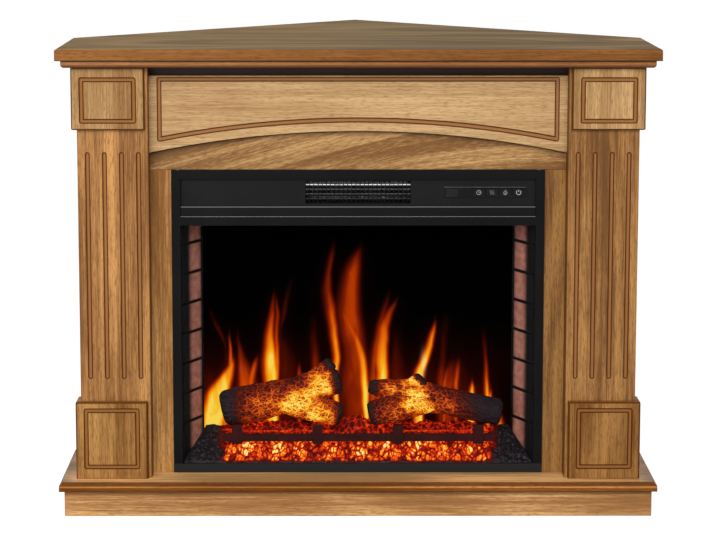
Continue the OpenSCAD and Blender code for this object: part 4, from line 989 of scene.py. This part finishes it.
def make_embers():
    front_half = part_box("ember_bed")[1].x / MM - 0.6
    rows, columns = 78, 400
    across = np.linspace(-1, 1, columns)[None, :].repeat(rows, 0)
    coal, side = (bed_line(line, rows)[:, None, :].repeat(columns, 1) for line in (COAL_LINE, SIDE_LINE))
    glow = smooth(274, 256, np.abs(across * front_half))
    line = side + (coal - side) * glow[..., None]
    d, z = line[..., 0], line[..., 1]
    depth = (d - GLASS_D) / (SCREEN_D - GLASS_D)
    x = across * (front_half + (BED_BACK - front_half) * depth)
    slope = np.gradient(line, axis=0)
    normal = np.stack([-slope[..., 1], slope[..., 0]], axis=-1)
    normal /= np.linalg.norm(normal, axis=-1, keepdims=True)
    flat = np.stack([x, d, z], axis=-1)
    bent = flat + 3.0 * np.stack([value_noise(flat * 0.12, seed) for seed in (31, 32, 33)], axis=-1)
    gravel = cells(bent / 5.4, 2)[0]
    lump, lump_next = cells(bent * (1.15, 1.0, 0.66) / 24.0, 4)
    crumb, crumb_next = cells(bent * (1.25, 1.0, 0.7) / 12.0, 6)
    rough = 4.0 * (0.55 - gravel) + 4.4 * fractal(bent * 0.16, 3, 8)
    coals = 8.0 * (0.6 - lump) + 3.0 * (0.5 - crumb) + 1.8 * fractal(bent * 0.4, 2, 9)
    rise = rough + (coals - rough) * glow
    rise = rise * smooth(83.5, 90, d) * smooth(0, 6, (1 - np.abs(across)) * front_half)
    d = np.clip(d + normal[..., 0] * rise, 84.6, 163.7)
    z = z + normal[..., 1] * rise
    heap = bump(np.hypot(x / 38, (d - 136) / 24))
    z = z + 26 * heap * (1 + 0.16 * fractal(flat * 0.16, 3, 12))
    lamps = np.arange(-216, 217, 54)
    spots = np.max([bump(np.hypot(x - c - 5 * math.sin(c), (z - 108) * 0.9), 12) for c in lamps], axis=0)
    strip = smooth(84, 90, z) * smooth(134, 122, z) * smooth(118, 108, d) * glow
    creases = smooth(0.02, 0.2, crumb_next - crumb) * smooth(0.0, 0.12, lump_next - lump)
    mottle = 0.5 + 0.5 * value_noise(bent * (0.09, 0.09, 0.05), 15)
    patchy = smooth(-0.5, 0.35, value_noise(flat * (0.075, 0.05, 0.05), 19))
    heat = strip * (0.37 + 0.26 * mottle + 0.22 * patchy + 0.46 * spots) * (0.32 + 0.76 * creases)
    behind = smooth(104, 114, d) * smooth(284, 250, np.abs(x))
    veins = smooth(0.3, 0.05, crumb_next - crumb)
    ember = (0.22 + 0.36 * veins) * (0.78 + 0.4 * value_noise(flat * 0.03, 14)) * (1 - 0.28 * heap)
    bar = (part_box("fire_grate")[0].y - FRONT_Y) / MM
    over = z + 0.13 * d - (HEARTH_Z + 71 + 0.13 * (bar + 8))
    seam = bump(over - 1.0, 1.8) * (smooth(-30, -60, x) + smooth(40, 70, x))
    ember = np.maximum(ember, seam * (0.5 + 0.14 * value_noise(flat * 0.08, 17)))
    heat = np.maximum(heat, behind * ember)
    piece = make_piece("ember_bed_lit", at(x, d, z).reshape(-1, 3), grid_faces(rows, columns),
                       ember_material(), "ember_resin", glow_heat=heat.ravel(), glow=glow.ravel())
    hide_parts("ember_bed")


def ember_material():
    """Crumbly resin, black and glassy at the sides and lit from below along the strip."""
    s = Shader("ember_resin")
    bent = s.bent(120.0, 3.0, 0.012)
    wide = s.cracks((100.0, 100.0, 62.0), bent)
    fine = s.noise((190.0, 190.0, 130.0), 4.0, bent)
    heat = s.attribute("glow_heat")
    glow = heat * s.span(wide, 0.0, 0.14, 0.6, 1.08) * s.span(fine, 0.3, 0.7, 0.8, 1.14)
    glint = s.span(s.noise(320.0, 2.0, bent, warp=2.0), 0.62, 0.72)
    colour = s.ramp(fine, [(0.3, (17, 12, 14)), (0.6, (33, 27, 31)), (0.8, (60, 53, 60))])
    colour = s.mix(glint * 0.45, colour, (80, 72, 90))
    colour = s.mix(s.attribute("glow") * 0.8, colour, (58, 18, 18))
    hot = s.span(heat, 0.02, 0.18)
    return s.finish(Base_Color=s.mix(hot, colour, (20, 3, 1)), Roughness=fine * 0.3 + (hot * 0.5 + 0.2),
                    Emission_Color=s.ramp(glow, EMBER), Emission_Strength=1.1, Specular_IOR_Level=0.1,
                    Normal=s.relief(wide + fine * 0.5, 0.7, 0.0014))


# -------- key signs and screws

SIGN_LINE = 0.75
SIGN_SCALE = 1.35
SIGN_RISE = 0.12
# In metres: the radius and height of screw heads, the thickness of the angles' sheet, and how far the
# holes are from the edges, or from the middle and the origin for the insert's.
WOOD_SCREW = (0.0042, 0.0022)
SHEET_SCREW = (0.0036, 0.0018)
ANGLE_SHEET = 0.0025
ANGLE_HOLE = 0.0192
ANGLE_END = 0.015
INSERT_HOLE = (0.3635, FRONT_Y + 0.092)
COVER_HOLE = (0.009, 0.012)


def stroke(points, width):
    """A flat ribbon along a line of (x, z) points, as quads."""
    points = np.array(points, float)
    way = np.gradient(points, axis=0)
    way /= np.linalg.norm(way, axis=1, keepdims=True)
    side = np.stack([-way[:, 1], way[:, 0]], axis=-1) * width / 2
    return np.stack([points - side, points + side], axis=1)


def arc(radius, start, end, count=22, height=0.0):
    turn = np.radians(np.linspace(start, end, count))
    return [(radius * math.sin(t), height + radius * math.cos(t)) for t in turn]


def key_signs():
    """Each key's shade of grey and its sign's lines, in millimetres from its middle, x and up."""
    wave = [(0.7 * math.sin(t * 2.2), -3 + t * 2) for t in np.linspace(0, 3, 14)]
    drop = arc(2.3, 50, 310, 18, -0.9) + [(-0.5, 2.0), (0.3, 3.7), (0.9, 2.2), (1.75, 0.6)]
    return {
        "timer_key": (138, [arc(3.1, 0, 360), [(0, 0), (0, 2.1)], [(0, 0), (1.5, -0.6)]]),
        "heater_key": (92, [[(x + shift, z) for x, z in wave] for shift in (-2.2, 0, 2.2)]),
        "flame_key": (132, [drop, [(0, -2.4), (0.4, -1.4), (0.1, -0.4)]]),
        "power_key": (176, [arc(3.2, 38, 322), [(0, 0.6), (0, 3.9)]]),
    }


def make_signs():
    for key, (grey, lines) in key_signs().items():
        low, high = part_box(key)
        middle = (low + high) / 2
        points, faces = [], []
        for line in lines:
            ribbon = stroke(line, SIGN_LINE) * SIGN_SCALE
            count = len(points)
            points += [(middle.x + across * MM, low.y - rise * MM, middle.z + up * MM)
                       for edges in ribbon for rise in (SIGN_RISE, 0.0) for across, up in edges]
            for i in range(len(ribbon) - 1):
                a, b = count + 4 * i, count + 4 * (i + 1)
                faces += [(a, a + 1, b + 1, b), (a, b, b + 2, a + 2), (a + 1, a + 3, b + 3, b + 1)]
            last = count + 4 * (len(ribbon) - 1)
            faces += [(count, count + 2, count + 3, count + 1), (last, last + 1, last + 3, last + 2)]
        ink = plastic("ink_" + key, (grey, grey, grey), 0.6, 0.3, 2000.0)
        make_piece(key + "_sign", points, faces, ink, "key_plastic", key, rounded=False)


def screw(radius, height):
    """A pan head with a cross cut, standing along +z, in metres: points and faces."""
    profile = [(1.0, 0.0), (1.0, 0.28), (0.93, 0.55), (0.78, 0.8), (0.55, 0.95), (0.3, 1.0)]
    around = 48
    points = []
    for r, h in profile:
        for i in range(around):
            turn = 2 * math.pi * (i + 0.5) / around
            cut = min(abs(math.sin(turn)), abs(math.cos(turn))) * r < 0.11 and r < 0.75
            level = h - (0.45 if cut else 0)
            points.append((r * radius * math.cos(turn), r * radius * math.sin(turn), level * height))
    faces = [tuple(f) for f in grid_faces(len(profile), around, closed=True)]
    points.append((0, 0, 0.5 * height))
    last = (len(profile) - 1) * around
    faces += [(last + i, last + (i + 1) % around, len(points) - 1) for i in range(around)]
    return points, faces


def make_screws(name, places, head, material):
    """Screw heads at (point, way out) places, joined in one piece."""
    points, faces = [], []
    base_points, base_faces = screw(*head)
    for index, (place, way) in enumerate(places):
        turn = Vector(way).to_track_quat("Z", "Y") @ Matrix.Rotation(index * 0.9, 3, "Z").to_quaternion()
        count = len(points)
        points += [tuple(turn @ Vector(p) + Vector(place)) for p in base_points]
        faces += [tuple(i + count for i in face) for face in base_faces]
    make_piece(name, points, faces, material, "galvanised")


def fix_with_screws():
    """Wood screws through the steel brackets, and sheet screws round the insert's rear cover."""
    zinc = bare_metal("screw_zinc", (196, 198, 200), 0.3)
    low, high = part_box("insert_brackets")
    x, y = INSERT_HOLE
    places = [((side * x, y, (low.z + high.z) / 2), (0, 1, 0)) for side in (-1, 1)]
    make_screws("insert_bracket_screws", places, WOOD_SCREW, zinc)
    low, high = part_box("corner_brackets")
    inner, outer = high.x - ANGLE_HOLE, high.x - ANGLE_SHEET
    places = []
    for side, row in itertools.product((-1, 1), (low.y + ANGLE_END, high.y - ANGLE_END)):
        places += [((side * inner, row, low.z + ANGLE_SHEET), (0, 0, 1)),
                   ((side * inner, row, high.z - ANGLE_SHEET), (0, 0, -1)),
                   ((side * outer, row, low.z + ANGLE_HOLE), (-side, 0, 0)),
                   ((side * outer, row, high.z - ANGLE_HOLE), (-side, 0, 0))]
    make_screws("corner_bracket_screws", places, WOOD_SCREW, zinc)
    low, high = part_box("rear_cover")
    left, right = low.x + COVER_HOLE[0], high.x - COVER_HOLE[0]
    foot, head = low.z + COVER_HOLE[1], high.z - COVER_HOLE[1]
    spots = [(x, z) for x in (left, right) for z in (foot, (foot + head) / 2, head)]
    spots += [(x, z) for z in (head, foot) for x in (left / 3, right / 3)]
    make_screws("rear_cover_screws", [((x, high.y, z), (0, 1, 0)) for x, z in spots], SHEET_SCREW, zinc)


# -------- the scene

def main():
    make_camera()
    make_studio()
    dress_wood()
    dress_insert()
    fire_picture()
    make_logs()
    make_embers()
    make_signs()
    fix_with_screws()


main()
